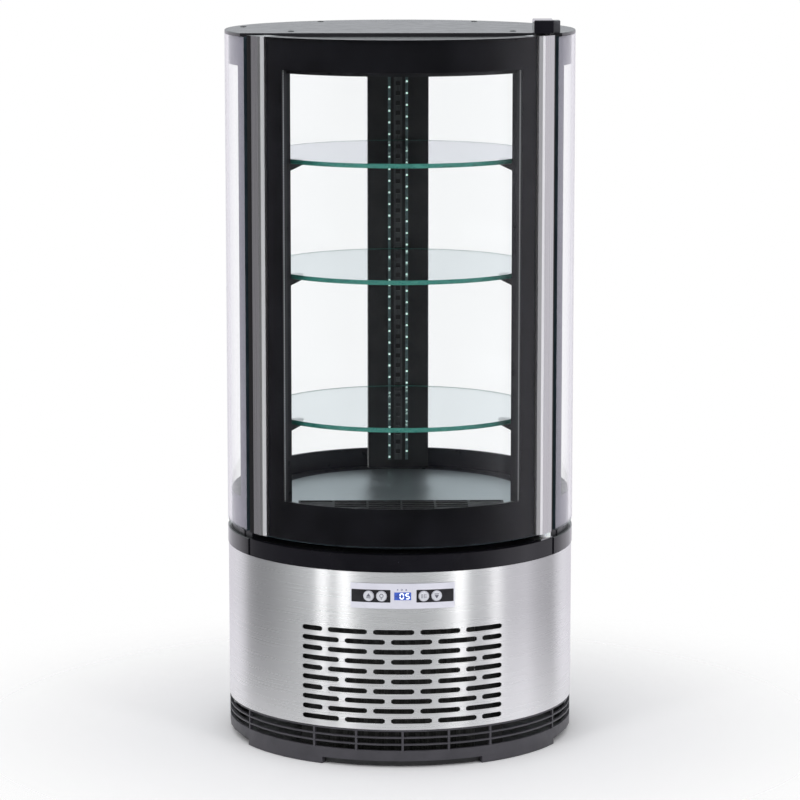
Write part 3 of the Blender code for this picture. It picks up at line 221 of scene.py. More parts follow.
def piece_spot(finish):
    """The three coordinates of a spot, in the piece's own metres."""
    parts = finish.node_tree.nodes.new("ShaderNodeSeparateXYZ")
    finish.node_tree.links.new(own_metres(finish), parts.inputs["Vector"])
    return [parts.outputs[axis] for axis in "XYZ"]


def blended(tree, way, factor, first, second):
    """Mixes two colours. The factor and the colours are output sockets or bare values."""
    step = tree.nodes.new("ShaderNodeMix")
    step.data_type = "RGBA"
    step.blend_type = way
    colour_a, colour_b, colour_out = step.inputs[6], step.inputs[7], step.outputs[2]
    for socket, value in ((step.inputs["Factor"], factor), (colour_a, first), (colour_b, second)):
        feed(tree, socket, value)
    return colour_out


def toned(finish, tone):
    """Multiplies the colour that a finish has already by a tone."""
    tree, base = finish.node_tree, shader_of(finish).inputs["Base Color"]
    tree.links.new(blended(tree, "MULTIPLY", 1, base.links[0].from_socket, tone), base)


stainless = new_finish(
    "stainless", (0.62, 0.62, 0.63), 0.28, 1.0, Anisotropic=0.97, Anisotropic_Rotation=0.25
)
belt_stretch = (0.006, 0.006, 1)
brushed(stainless, 3600, 900, belt_stretch, (0.646, 0.641, 0.643), (0.672, 0.667, 0.670), 0.27, 0.29)
tree = stainless.node_tree
brush_way = tree.nodes.new("ShaderNodeTangent")
brush_way.direction_type = "RADIAL"
brush_way.axis = "Z"
tree.links.new(brush_way.outputs["Tangent"], shader_of(stainless).inputs["Tangent"])
# The steel's colour is lifted towards its foot: a painted reflection of the bright floor, not a change in
# the sheet.
low_band, floor_reflection_tone, plain_tone = (0.06, 0.20), 1.28, 1.0
height = piece_spot(stainless)[2]
painted_floor_reflection = wired(
    tree, "ShaderNodeMapRange", None, height, *low_band, floor_reflection_tone, plain_tone, out="Result"
)
toned(stainless, painted_floor_reflection)
dress("steel_shell", stainless, turned=True)


# Rear service panel
# A slotted stainless cover over the open back of the shell.
# Six pan-head screws with cross recesses hold it, so that it comes off for cleaning.
def placed(name, data):
    """A new object in the scene."""
    item = bpy.data.objects.new(name, data)
    bpy.context.scene.collection.objects.link(item)
    return item


def settled(item, *others):
    """The mesh that an object's curve or modifiers come to. The objects themselves then go."""
    graph = bpy.context.evaluated_depsgraph_get()
    mesh = bpy.data.meshes.new_from_object(item.evaluated_get(graph))
    for guide in (item, *others):
        bpy.data.objects.remove(guide, do_unlink=True)
    return mesh


def mesh_of(name, bm):
    """Writes a bmesh out as a mesh, and frees it."""
    mesh = bpy.data.meshes.new(name)
    bm.to_mesh(mesh)
    bm.free()
    return mesh


def carved(name, body, cutter):
    """The mesh of one body after another is cut out of it."""
    item, other = placed(name, body), placed(f"{name}_cutter", cutter)
    step = item.modifiers.new("carve", "BOOLEAN")
    step.operation = "DIFFERENCE"
    step.solver = "EXACT"
    step.use_self = True
    step.object = other
    result = settled(item, other)
    result.shade_smooth()
    result.set_sharp_from_angle(angle=radians(35))
    return result


def screw_mesh(radius, rise):
    """A domed head with a cross recess, standing on Z = 0."""
    rings, slices, brim = 5, 24, 0.35
    short_arm, long_arm = radius * 0.16, radius * 0.62
    dome = [(radius, 0.0)]
    for step in range(rings + 1):
        turn = pi / 2 * step / rings
        across = radius * cos(turn) if step < rings else 0.0
        dome.append((across, rise * (brim + (1 - brim) * sin(turn))))
    bm = bmesh.new()
    spots = [bm.verts.new((across, 0, height)) for across, height in dome]
    line = spots + [bm.edges.new(pair) for pair in zip(spots, spots[1:])]
    middle, upright = (0, 0, 0), (0, 0, 1)
    bmesh.ops.spin(
        bm, geom=line, cent=middle, axis=upright, angle=2 * pi, steps=slices, use_merge=True
    )
    bmesh.ops.remove_doubles(bm, verts=bm.verts, dist=0.00001)
    bmesh.ops.holes_fill(bm, edges=[edge for edge in bm.edges if edge.is_boundary])
    bmesh.ops.recalc_face_normals(bm, faces=bm.faces)
    cross = bmesh.new()
    for half_x, half_y in ((long_arm, short_arm), (short_arm, long_arm)):
        size = Matrix.Diagonal((2 * half_x, 2 * half_y, rise, 1))
        bmesh.ops.create_cube(cross, size=1, matrix=Matrix.Translation((0, 0, rise)) @ size)
    return carved("screw_head", mesh_of("screw_head", bm), mesh_of("screw_cross", cross))


def stand(name, mesh, finish, body="case", place=None):
    """Puts a made piece in the scene, in its finish and on its body."""
    piece = placed(name, mesh)
    if not mesh.materials:
        mesh.materials.append(finish)
    if place is not None:
        piece.matrix_world = place
    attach(piece, body)


def at(angle, radius, height):
    """The spot at an angle round the case, a distance off its axis and a height."""
    return Vector((radius * sin(radians(angle)), -radius * cos(radians(angle)), height))


def outward(angle, radius, height):
    """A frame on the round wall: its Z points out and its Y points up."""
    turned = Matrix.Rotation(radians(angle), 4, "Z") @ Matrix.Rotation(pi / 2, 4, "X")
    return Matrix.Translation(at(angle, radius, height)) @ turned


dress("rear_service_panel", stainless, turned=True)
panel_low, panel_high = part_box("rear_service_panel")
screw_steel = new_finish("screw_steel", (0.42, 0.42, 0.43), 0.32, 1.0)
colours(screw_steel, grain(screw_steel, 900), (0.34, 0.34, 0.35), (0.50, 0.50, 0.51))
gloss(screw_steel, grain(screw_steel, 1500), 0.26, 0.40)
panel_screw = screw_mesh(radius=0.0036, rise=0.0014)
screw_inset, screw_angle, screw_sink = 0.012, 35.5, 0.0004
screw_rows = (panel_low.z + screw_inset, (panel_low.z + panel_high.z) / 2, panel_high.z - screw_inset)
for row, height in enumerate(screw_rows):
    for side, way in (("left", -1), ("right", 1)):
        spot = outward(180 + way * screw_angle, panel_high.y - screw_sink, height)
        stand(f"panel_screw_{row}_{side}", panel_screw, screw_steel, place=spot)


# Collar ring
# Gloss black moulding between the steel and the glass, polished like the door's border.
# A small step at each end of the door lets it swing clear.
piano_black = new_finish(
    "piano_black", (0.010, 0.010, 0.012), 0.10, Specular_IOR_Level=0.25, Coat_Weight=0.2, Coat_Roughness=0.04
)
# The colour is lifted slightly and tinted purple: a painted reflection of the room in the gloss.
colours(piano_black, grain(piano_black, 12), (0.007, 0.0068, 0.009), (0.011, 0.0106, 0.014))
gloss(piano_black, grain(piano_black, 55, detail=5.0), 0.07, 0.16)
relief(piano_black, grain(piano_black, 26), 0.00004, 0.5)
dress("collar_ring", piano_black, turned=True)


# Control panel
# A pale curved bezel, snapped over an opening in the steel. Two black film inlays frame
# the buttons, and a blue window between them shows the chamber's temperature.
def wall_flats(name, inside=False):
    """Radius of a solid's round wall, and the angles at which its flats meet."""
    slack = 0.00001
    spots = [vert.co for vert in solids[name].data.vertices]
    reaches = [spot.xy.length for spot in spots]
    radius = min(reaches) if inside else max(reaches)
    on_wall = [spot for spot, reach in zip(spots, reaches) if abs(reach - radius) < slack]
    return radius, sorted({round(degrees(atan2(spot.x, -spot.y)), 2) for spot in on_wall})


def filled(name, outlines, rise=0.0):
    """A flat mesh within outlines of (x, y). Those inside another are holes."""
    curve = bpy.data.curves.new(name, "CURVE")
    curve.dimensions = "2D"
    curve.fill_mode = "BOTH"
    curve.extrude = rise / 2
    for outline in outlines:
        spline = curve.splines.new("POLY")
        spline.points.add(len(outline) - 1)
        for point, (x, y) in zip(spline.points, outline):
            point.co = (x, y, 0, 1)
        spline.use_cyclic_u = True
    return settled(placed(name, curve))


def only_verts(geom):
    """The corners in what a bmesh step gives back."""
    return [part for part in geom if isinstance(part, bmesh.types.BMVert)]


def film(name, outlines, wall, lift, thickness, finish, body="case"):
    """Thin film, lifted off a wall that is given as (radius, angles where its flats meet).

    Its outlines are given as (angle, height), and those inside another are holes.
    """
    merge, cut, slack = 0.00001, 0.000001, 0.001
    radius, angles = wall[0] + lift, wall[1]
    flat = [[(radius * radians(angle), height) for angle, height in outline] for outline in outlines]
    bm = bmesh.new()
    bm.from_mesh(filled(name, flat))
    bmesh.ops.remove_doubles(bm, verts=bm.verts, dist=merge)
    bmesh.ops.dissolve_limit(bm, angle_limit=0.001, verts=bm.verts, edges=bm.edges)
    low = min(vert.co.x for vert in bm.verts)
    high = max(vert.co.x for vert in bm.verts)
    for line in (radius * radians(angle) for angle in angles):
        if low + merge < line < high - merge:
            geom = bm.verts[:] + bm.edges[:] + bm.faces[:]
            bmesh.ops.bisect_plane(bm, geom=geom, dist=cut, plane_co=(line, 0, 0), plane_no=(1, 0, 0))
    bmesh.ops.triangulate(bm, faces=bm.faces)
    grown = bmesh.ops.extrude_face_region(bm, geom=bm.faces[:], use_keep_orig=True)
    outer = set(only_verts(grown["geom"]))
    for vert in bm.verts:
        reach = radius + (thickness if vert in outer else 0)
        angle = degrees(vert.co.x / radius)
        after = min(max(bisect_left(angles, angle - slack), 1), len(angles) - 1)
        start, end = angles[after - 1], angles[after]
        chord = reach * cos(radians(end - start) / 2) / cos(radians(angle - (start + end) / 2))
        vert.co = at(angle, chord, vert.co.y)
    bmesh.ops.recalc_face_normals(bm, faces=bm.faces)
    mesh = mesh_of(name, bm)
    stand(name, mesh, finish, body)
    mesh.shade_smooth()
    mesh.set_sharp_from_angle(angle=radians(30))


def arc(x, y, size, turns):
    """Points at a distance from a middle, at turns in radians."""
    return [(x + size * cos(turn), y + size * sin(turn)) for turn in turns]


def disc(x, y, size, points=32):
    """A round outline."""
    return arc(x, y, size, [2 * pi * step / points for step in range(points)])


def rounded(left, right, bottom, top, corner, steps=4):
    """A rectangle with round corners."""
    outline = []
    for x, y, start in (
        (right - corner, top - corner, 0),
        (left + corner, top - corner, 90),
        (left + corner, bottom + corner, 180),
        (right - corner, bottom + corner, 270),
    ):
        outline += arc(x, y, corner, [radians(start + 90 * step / steps) for step in range(steps + 1)])
    return outline


def along_wall(outlines, radius):
    """Turns outlines in metres along a round wall into (angle, height)."""
    return [[(degrees(x / radius), height) for x, height in outline] for outline in outlines]


bezel_plastic = new_finish("bezel_plastic", (0.72, 0.72, 0.80), 0.32)
colours(bezel_plastic, grain(bezel_plastic, 30), (0.69, 0.69, 0.77), (0.76, 0.76, 0.84))
gloss(bezel_plastic, grain(bezel_plastic, 120), 0.26, 0.40)
relief(bezel_plastic, grain(bezel_plastic, 2200, detail=1.0), 0.00002)
dress("control_bezel", bezel_plastic, turned=True)
bezel_low, bezel_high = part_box("control_bezel")
panel_middle = (bezel_low.z + bezel_high.z) / 2
panel_wall = wall_flats("control_bezel")
panel_face = panel_wall[0]

inlay_black = new_finish("inlay_black", (0.016, 0.015, 0.018), 0.22)
colours(inlay_black, grain(inlay_black, 80), (0.013, 0.012, 0.015), (0.020, 0.019, 0.023))
gloss(inlay_black, grain(inlay_black, 200), 0.18, 0.27)
button_angles = {"button_up": -10.9, "button_lamp": -6.75, "button_defrost": 6.75, "button_down": 10.9}
inlay_half, inlay_corner, inlay_lift, inlay_thickness = 0.0086, 0.0008, 0.00002, 0.00013
button_hole = 0.0073
for side, left, right in (("left", -16.5, -3.9), ("right", 4.4, 16.5)):
    ends = [panel_face * radians(angle) for angle in (left, right)]
    outlines = [rounded(*ends, panel_middle - inlay_half, panel_middle + inlay_half, inlay_corner)]
    for angle in button_angles.values():
        if left < angle < right:
            outlines.append(disc(panel_face * radians(angle), panel_middle, button_hole))
    outlines = along_wall(outlines, panel_face)
    name = f"panel_inlay_{side}"
    film(name, outlines, panel_wall, inlay_lift, inlay_thickness, inlay_black)

window_blue = new_finish(
    "window_blue",
    (0.03, 0.05, 0.22),
    0.08,
    Coat_Weight=0.5,
    Emission_Color=(0.10, 0.20, 0.85, 1),
    Emission_Strength=0.35,
)
colours(window_blue, grain(window_blue, 70), (0.03, 0.06, 0.26), (0.06, 0.12, 0.42))
gloss(window_blue, grain(window_blue, 240), 0.06, 0.12)
dress("display_window", window_blue, turned=True)

lit_segment = new_finish(
    "lit_segment", (0.85, 0.90, 1.0), 0.4, Emission_Color=(0.82, 0.88, 1.0, 1), Emission_Strength=1.0
)
colours(lit_segment, grain(lit_segment, 800), (0.80, 0.86, 1.0), (0.90, 0.95, 1.0))
unlit_segment = new_finish("unlit_segment", (0.05, 0.08, 0.30), 0.3)
colours(unlit_segment, grain(unlit_segment, 800), (0.04, 0.06, 0.25), (0.06, 0.10, 0.34))
ink_lift, ink_thickness = 0.00001, 0.00006


def panel_print(name, outlines, wall, finish):
    """A print on a round face of the panel, its outlines in metres along that face."""
    outlines = along_wall(outlines, wall[0])
    film(name, outlines, wall, ink_lift, ink_thickness, finish)


def segments(width, height, bar):
    """The seven bars of a figure as (name, outline), about its own middle."""
    half_w, half_h, gap, tip = width / 2, height / 2, bar * 0.12, bar / 2
    made = {}
    for name, z in (("top", half_h), ("middle", 0), ("bottom", -half_h)):
        low, high = -half_w + gap, half_w - gap
        made[name] = [(low, z), (low + tip, z + tip), (high - tip, z + tip)]
        made[name] += [(high, z), (high - tip, z - tip), (low + tip, z - tip)]
    for name, x, z in (
        ("upper_left", -half_w, half_h),
        ("upper_right", half_w, half_h),
        ("lower_left", -half_w, 0),
        ("lower_right", half_w, 0),
    ):
        high, low = z - gap, z - half_h + gap
        made[name] = [(x, high), (x + tip, high - tip), (x + tip, low + tip)]
        made[name] += [(x, low), (x - tip, low + tip), (x - tip, high - tip)]
    return made


# Each figure by its middle along the window, and by the bars of it that are lit.
figures = {
    "tens": (-0.0012, "top upper_left upper_right lower_left lower_right bottom"),
    "units": (0.0066, "top upper_left middle lower_right bottom"),
    "sign": (-0.0082, ""),
}
window_wall = wall_flats("display_window")
for place_name, (middle, lit) in figures.items():
    for bar_name, outline in segments(width=0.0044, height=0.0070, bar=0.0014).items():
        if place_name == "sign" and "right" not in bar_name and bar_name != "middle":
            continue
        loop = [(middle + x, panel_middle + z) for x, z in outline]
        shown = lit_segment if bar_name in lit.split() else unlit_segment
        panel_print(f"figure_{place_name}_{bar_name}", [loop], window_wall, shown)

icon_grey = new_finish("icon_grey", (0.20, 0.20, 0.32), 0.4)
colours(icon_grey, grain(icon_grey, 600), (0.17, 0.17, 0.28), (0.24, 0.24, 0.36))
gloss(icon_grey, grain(icon_grey, 900), 0.34, 0.46)


def star(x, y, size, arms=6, waist=0.42):
    """A star with one arm up."""
    turns = [pi * step / arms + pi / 2 for step in range(2 * arms)]
    reaches = [size if step % 2 == 0 else size * waist for step in range(2 * arms)]
    return [(x + reach * cos(turn), y + reach * sin(turn)) for reach, turn in zip(reaches, turns)]


def drop(x, y, size):
    """A drop: a point over an arc."""
    turns = [radians(40 - step * 260 / 12) for step in range(13)]
    return [(x, y + size * 1.2), *arc(x, y - size * 0.25, size * 0.75, turns)]


icon_height = panel_middle + 0.0088
icons = {
    "sign_cooling": [star(-0.0068, icon_height, 0.0015)],
    "sign_fan": [disc(-0.0012, icon_height, size, 20) for size in (0.0014, 0.0007)],
    "sign_defrost": [drop(0.0046, icon_height, 0.0013)],
}
for name, outlines in icons.items():
    panel_print(name, outlines, panel_wall, icon_grey)


# Push buttons
# Four round keys in pale plastic, each with a dark printed sign: up, lamp, defrost and down.
# They slide in the bezel on their own springs.
def block(low_x, high_x, low_y, high_y):
    """A rectangular outline."""
    return [(low_x, low_y), (high_x, low_y), (high_x, high_y), (low_x, high_y)]


key_plastic = new_finish("key_plastic", (0.66, 0.67, 0.72), 0.36)
colours(key_plastic, grain(key_plastic, 60), (0.62, 0.63, 0.68), (0.70, 0.71, 0.76))
gloss(key_plastic, grain(key_plastic, 300), 0.30, 0.44)
relief(key_plastic, grain(key_plastic, 2400, detail=1.0), 0.00001)
sign_ink = new_finish("sign_ink", (0.10, 0.10, 0.13), 0.5)
colours(sign_ink, grain(sign_ink, 700), (0.08, 0.08, 0.11), (0.13, 0.13, 0.17))
gloss(sign_ink, grain(sign_ink, 1200), 0.42, 0.58)
key_signs = {
    "button_up": [
        [(-0.0030, -0.0010), (0.0030, -0.0010), (0.0, 0.0036)],
        block(-0.0030, 0.0030, -0.0030, -0.0020),
    ],
    "button_down": [
        [(-0.0030, 0.0010), (0.0, -0.0036), (0.0030, 0.0010)],
        block(-0.0030, 0.0030, 0.0020, 0.0030),
    ],
    "button_lamp": [
        disc(0, 0.0006, 0.0027, 24),
        disc(0, 0.0006, 0.0019, 24),
        block(-0.0012, 0.0012, -0.0034, -0.0028),
        block(-0.0008, 0.0008, -0.0042, -0.0037),
    ],
    "button_defrost": [
        block(-0.0033, -0.0027, -0.0028, 0.0028),
        block(-0.0018, -0.0012, -0.0028, 0.0028),
        block(0.0004, 0.0010, -0.0028, 0.0028),
        block(0.0018, 0.0036, 0.0016, 0.0022),
        block(0.0018, 0.0036, -0.0003, 0.0003),
        block(0.0018, 0.0036, -0.0022, -0.0016),
    ],
}
for name, angle in button_angles.items():
    dress(name, key_plastic)
    reach = max(vert.co.dot(at(angle, 1, 0)) for vert in solids[name].data.vertices)
    bm = bmesh.new()
    bm.from_mesh(filled(f"{name}_sign", key_signs[name], ink_thickness))
    bmesh.ops.remove_doubles(bm, verts=bm.verts, dist=0.000005)
    bmesh.ops.translate(bm, verts=bm.verts, vec=(0, 0, ink_thickness / 2))
    bmesh.ops.recalc_face_normals(bm, faces=bm.faces)
    place = outward(angle, reach, panel_middle)
    stand(f"{name}_sign", mesh_of(f"{name}_sign", bm), sign_ink, name, place)


# Refrigeration machine in the base
# Condenser block with pressed aluminium fins, plated shroud, moulded fan and foam strips that
# seal it to the ring, and a black enamelled hermetic compressor with its copper lines and the
# drip tray on top. The coil, fan and motor of the cold side are of the same makes.
def fins(name, dark, light, metallic):
    """Pressed fin sheet, seen end on as close upright stripes."""
    pitch = 0.0021
    made = new_finish(name, light, 0.42, metallic)
    wave = made.node_tree.nodes.new("ShaderNodeTexWave")
    wave.wave_type = "BANDS"
    wave.bands_direction = "X"
    wave.inputs["Scale"].default_value = 1 / pitch / pi
    made.node_tree.links.new(own_metres(made), wave.inputs["Vector"])
    colours(made, wave.outputs["Fac"], dark, light, 0.1, 0.6)
    relief(made, wave.outputs["Fac"], 0.0004)
    gloss(made, grain(made, 60), 0.36, 0.54)
    return made


# The condenser's aluminium fins are coloured near black: painted shade for the dim inside of the base behind
# the vent slots.
dress("condenser_coil", fins("shade_darkened_fins", (0.010, 0.010, 0.009), (0.034, 0.034, 0.031), 0.2))
dress("evaporator_coil", fins("bare_fins", (0.30, 0.31, 0.32), (0.66, 0.67, 0.68), 1.0))

air_foam = new_finish("air_foam", (0.018, 0.018, 0.018), 0.95)
foam_cells = grain(air_foam, 700, detail=3.0)
colours(air_foam, foam_cells, (0.010, 0.010, 0.010), (0.026, 0.026, 0.026))
relief(air_foam, foam_cells, 0.0006)
coil_low, coil_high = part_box("condenser_coil")
coil_spots = [vert.co for vert in solids["condenser_coil"].data.vertices]
coil_gap, ledge_gap, face_depth = 0.0005, 0.0006, 0.001
coil_side = coil_gap + max(spot.x for spot in coil_spots if spot.y < coil_low.y + face_depth)
ledge_inside = wall_flats("base_ring", inside=True)[0] - ledge_gap
foam_start, foam_end, foam_thickness = 32, 37.5, 0.0035
foam_depths, foam_foot, foam_short = (0.0037, 0.0004), 0.0125, 0.014
for side, way in (("left", -1), ("right", 1)):
    corners = [Vector((way * coil_side, coil_low.y + depth, 0)) for depth in foam_depths]
    corners += [at(way * angle, ledge_inside, 0) for angle in (foam_start, foam_end)]
    corners += [at(way * angle, ledge_inside - foam_thickness, 0) for angle in (foam_end, foam_start)]
    bm = bmesh.new()
    spots = [bm.verts.new((spot.x, spot.y, coil_low.z + foam_foot)) for spot in corners]
    raised = bmesh.ops.extrude_face_region(bm, geom=[bm.faces.new(spots)])["geom"]
    tall = coil_high.z - coil_low.z - foam_short
    bmesh.ops.translate(bm, vec=(0, 0, tall), verts=only_verts(raised))
    bmesh.ops.recalc_face_normals(bm, faces=bm.faces)
    stand(f"air_seal_{side}", mesh_of(f"air_seal_{side}", bm), air_foam)

spangle = new_finish("spangle", (0.22, 0.22, 0.23), 0.50, 0.9)
crystals = spangle.node_tree.nodes.new("ShaderNodeTexVoronoi")
crystals.inputs["Scale"].default_value = 150
spangle.node_tree.links.new(own_metres(spangle), crystals.inputs["Vector"])
colours(spangle, crystals.outputs["Distance"], (0.16, 0.165, 0.17), (0.28, 0.285, 0.29), 0.0, 0.7)
gloss(spangle, grain(spangle, 150), 0.42, 0.58)
for name in ("fan_shroud", "condenser_fan_motor", "evaporator_fan_motor"):
    dress(name, spangle)

fan_moulding = new_finish("fan_moulding", (0.035, 0.035, 0.037), 0.44)
colours(fan_moulding, grain(fan_moulding, 50), (0.028, 0.028, 0.030), (0.045, 0.045, 0.048))
relief(fan_moulding, grain(fan_moulding, 1200, detail=1.0), 0.00004)
gloss(fan_moulding, grain(fan_moulding, 110), 0.38, 0.52)
for name in ("condenser_fan", "evaporator_fan"):
    dress(name, fan_moulding)

black_enamel = new_finish("black_enamel", (0.015, 0.015, 0.016), 0.30, Coat_Weight=0.3)
colours(black_enamel, grain(black_enamel, 25), (0.012, 0.012, 0.013), (0.020, 0.020, 0.022))
gloss(black_enamel, grain(black_enamel, 80), 0.24, 0.40)
relief(black_enamel, grain(black_enamel, 320), 0.00006)
dress("compressor", black_enamel)

tray_moulding = new_finish("tray_moulding", (0.46, 0.47, 0.49), 0.50)
colours(tray_moulding, grain(tray_moulding, 20), (0.42, 0.43, 0.45), (0.50, 0.51, 0.53))
gloss(tray_moulding, grain(tray_moulding, 90), 0.42, 0.60)
relief(tray_moulding, grain(tray_moulding, 1100, detail=1.0), 0.00004)
dress("drip_tray", tray_moulding)

drawn_copper = new_finish("drawn_copper", (0.72, 0.38, 0.24), 0.30, 1.0)
colours(drawn_copper, grain(drawn_copper, 45, detail=4.0), (0.50, 0.25, 0.16), (0.78, 0.43, 0.29))
gloss(drawn_copper, grain(drawn_copper, 90), 0.22, 0.42)
for name in ("copper_line", "filter_drier"):
    dress(name, drawn_copper)


# Insulated tub and liner
# Foam-filled mouldings in satin black. The tub holds the evaporator under the deck,
# and the liner ring above it is the low black wall inside the glass.
satin_black = new_finish("satin_black", (0.010, 0.010, 0.012), 0.34, Specular_IOR_Level=0.3)
colours(satin_black, grain(satin_black, 18), (0.008, 0.008, 0.011), (0.013, 0.013, 0.016))
gloss(satin_black, grain(satin_black, 70, detail=4.0), 0.26, 0.42)
relief(satin_black, grain(satin_black, 1500, detail=1.0), 0.00003)
for name in ("insulated_tub", "liner_ring"):
    dress(name, satin_black, turned=True)


# Rear column
# Folded sheet, powder coated black: cable and air duct in one, up the back of the chamber.
# Its front carries a strip of square holes for the shelf clips, with light strips beside it.
powder_black = new_finish("powder_black", (0.011, 0.011, 0.012), 0.46, Specular_IOR_Level=0.35)
colours(powder_black, grain(powder_black, 25), (0.008, 0.008, 0.009), (0.014, 0.014, 0.015))
gloss(powder_black, grain(powder_black, 200), 0.38, 0.54)
relief(powder_black, grain(powder_black, 900), 0.00008)
dress("rear_column", powder_black, turned=True)
ladder_steel = new_finish("ladder_steel", (0.050, 0.052, 0.055), 0.40, 0.6)
drawn_up = grain(ladder_steel, 400, (1, 1, 0.05))
colours(ladder_steel, drawn_up, (0.038, 0.040, 0.043), (0.070, 0.072, 0.076))
gloss(ladder_steel, grain(ladder_steel, 120), 0.32, 0.48)
dress("shelf_ladder", ladder_steel)
strip_board = new_finish("strip_board", (0.05, 0.09, 0.09), 0.35)
colours(strip_board, grain(strip_board, 300), (0.035, 0.065, 0.065), (0.07, 0.12, 0.12))
gloss(strip_board, grain(strip_board, 500), 0.28, 0.42)
lamp_chip = new_finish(
    "lamp_chip", (0.70, 0.82, 0.78), 0.25, Emission_Color=(0.62, 0.90, 0.82, 1), Emission_Strength=0.9
)
colours(lamp_chip, grain(lamp_chip, 900), (0.62, 0.78, 0.74), (0.80, 0.92, 0.88))
chip_size, chip_bevel, chip_pitch = Vector((0.0026, 0.0012, 0.0026)), 0.0003, 0.0167
for side, first_step in (("left", 0.25), ("right", 0.75)):
    dress(f"led_strip_{side}", strip_board)
    low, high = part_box(f"led_strip_{side}")
    bm = bmesh.new()
    for index in range(int((high.z - low.z) / chip_pitch)):
        place = ((low.x + high.x) / 2, low.y, low.z + chip_pitch * (index + first_step))
        chip = bmesh.ops.create_cube(bm, size=1)["verts"]
        bmesh.ops.scale(bm, vec=chip_size, verts=chip)
        bmesh.ops.translate(bm, vec=place, verts=chip)
    bmesh.ops.bevel(bm, geom=bm.edges[:], offset=chip_bevel, segments=1, affect="EDGES")
    stand(f"led_chips_{side}", mesh_of(f"led_chips_{side}", bm), lamp_chip)


# Deck
# A round plate in grey satin steel over the evaporator, lifted out for cleaning.
# The black slatted grille at its front draws the air back down to the coil.
deck_sheet = new_finish("deck_sheet", (0.42, 0.46, 0.48), 0.34, 1.0, Anisotropic=0.4)
brushed(deck_sheet, 1800, 500, (0.02, 1, 1), (0.37, 0.41, 0.43), (0.45, 0.495, 0.515), 0.30, 0.38)
dress("deck_plate", deck_sheet, turned=True)
grille_black = new_finish("grille_black", (0.010, 0.010, 0.011), 0.55, Specular_IOR_Level=0.2)
colours(grille_black, grain(grille_black, 60), (0.008, 0.008, 0.009), (0.014, 0.014, 0.015))
gloss(grille_black, grain(grille_black, 90), 0.48, 0.62)
dress("deck_grille", grille_black)


# Shelves
# Three discs of 6 mm float glass with ground edges, pale green where the light runs along
# the sheet. Each lies on two side brackets and a clip at the column.
def glass_finish(name, tint, bend, haze_tone):
    """Clear glass that lets lamps through, with a trace of colour in every face."""
    made = new_finish(name, tint, 0.0, Transmission_Weight=1.0, IOR=bend)
    colours(made, grain(made, 9), tuple(value * haze_tone for value in tint), tint)
    tree = made.node_tree
    shadow = tree.nodes.new("ShaderNodeLightPath").outputs["Is Shadow Ray"]
    clear = wired(tree, "ShaderNodeBsdfTransparent", None, (*tint, 1), out="BSDF")
    glass = shader_of(made).outputs["BSDF"]
    both = wired(tree, "ShaderNodeMixShader", None, shadow, glass, clear, out="Shader")
    tree.links.new(both, tree.nodes["Material Output"].inputs["Surface"])
    return made


def upright(face):
    """Whether a face stands up, as the ground edge of a shelf does."""
    return abs(face.normal.z) < 0.5


shelf_glass = glass_finish("shelf_glass", (0.950, 0.978, 0.982), 1.40, 0.985)
ground_edge = new_finish("ground_edge", (0.025, 0.16, 0.13), 0.30)
colours(ground_edge, grain(ground_edge, 60, (1, 1, 6)), (0.020, 0.13, 0.105), (0.036, 0.19, 0.155))
gloss(ground_edge, grain(ground_edge, 400), 0.24, 0.40)
for level in ("upper", "middle", "lower"):
    dress(f"shelf_{level}", shelf_glass, turned=True, rim=ground_edge, on_rim=upright)
    for side in ("left", "right", "rear"):
        dress(f"shelf_bracket_{level}_{side}", powder_black)


# Posts and side glass
# Two curved units, each an outer and an inner pane, stand between the black posts and the
# rear column. A black ceramic print behind the outer pane covers its front, foot and head.
def wall_facing(face):
    """How squarely a face looks out of the case's round wall: 1 on the wall, 0 across it."""
    return abs(face.normal.dot(Vector((face.center.x, face.center.y, 0)).normalized()))


def cut_edge(face):
    """Whether a face is a cut edge of a curved pane."""
    return wall_facing(face) < 0.5


pane_glass = glass_finish("pane_glass", (0.994, 0.998, 1.0), 1.20, 0.996)
pane_edge = new_finish("pane_edge", (0.03, 0.045, 0.055), 0.16)
colours(pane_edge, grain(pane_edge, 40), (0.020, 0.032, 0.040), (0.036, 0.055, 0.066))
gloss(pane_edge, grain(pane_edge, 300), 0.12, 0.22)
# The print's colour runs from black to pale lavender at shallow angles: a painted sheen, a painted
# reflection of the pale room on the glass.
side_ceramic = new_finish("side_ceramic", (0.012, 0.012, 0.014), 0.5, Specular_IOR_Level=0.0)
painted_sheen = side_ceramic.node_tree.nodes.new("ShaderNodeLayerWeight")
painted_sheen.inputs["Blend"].default_value = 0.5
colours(side_ceramic, painted_sheen.outputs["Facing"], (0.008, 0.008, 0.010), (0.20, 0.195, 0.235), 0.42, 0.60)
print_gap, print_thickness = 0.00004, 0.00004
print_lift = -print_gap - print_thickness
edge_angle, edge_inset = 0.1, 0.0004
print_front, window_bottom, window_top = 67.5, 0.3445, 0.9330
for side, way in (("left", -1), ("right", 1)):
    dress(f"post_{side}", satin_black, turned=True)
    for pane in ("outer", "inner"):
        dress(f"side_glass_{pane}_{side}", pane_glass, turned=True, rim=pane_edge, on_rim=cut_edge)
    low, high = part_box(f"side_glass_outer_{side}")
    bottom, top = low.z + edge_inset, high.z - edge_inset
    wall = wall_flats(f"side_glass_outer_{side}", inside=True)
    near, far = wall[1][0] + edge_angle, wall[1][-1] - edge_angle
    if way < 0:
        near, far = far, near
    border = [(near, bottom), (far, bottom), (far, window_bottom), (way * print_front, window_bottom)]
    border += [(way * print_front, window_top), (far, window_top), (far, top), (near, top)]
    film(f"side_print_{side}", [border], wall, print_lift, print_thickness, side_ceramic)


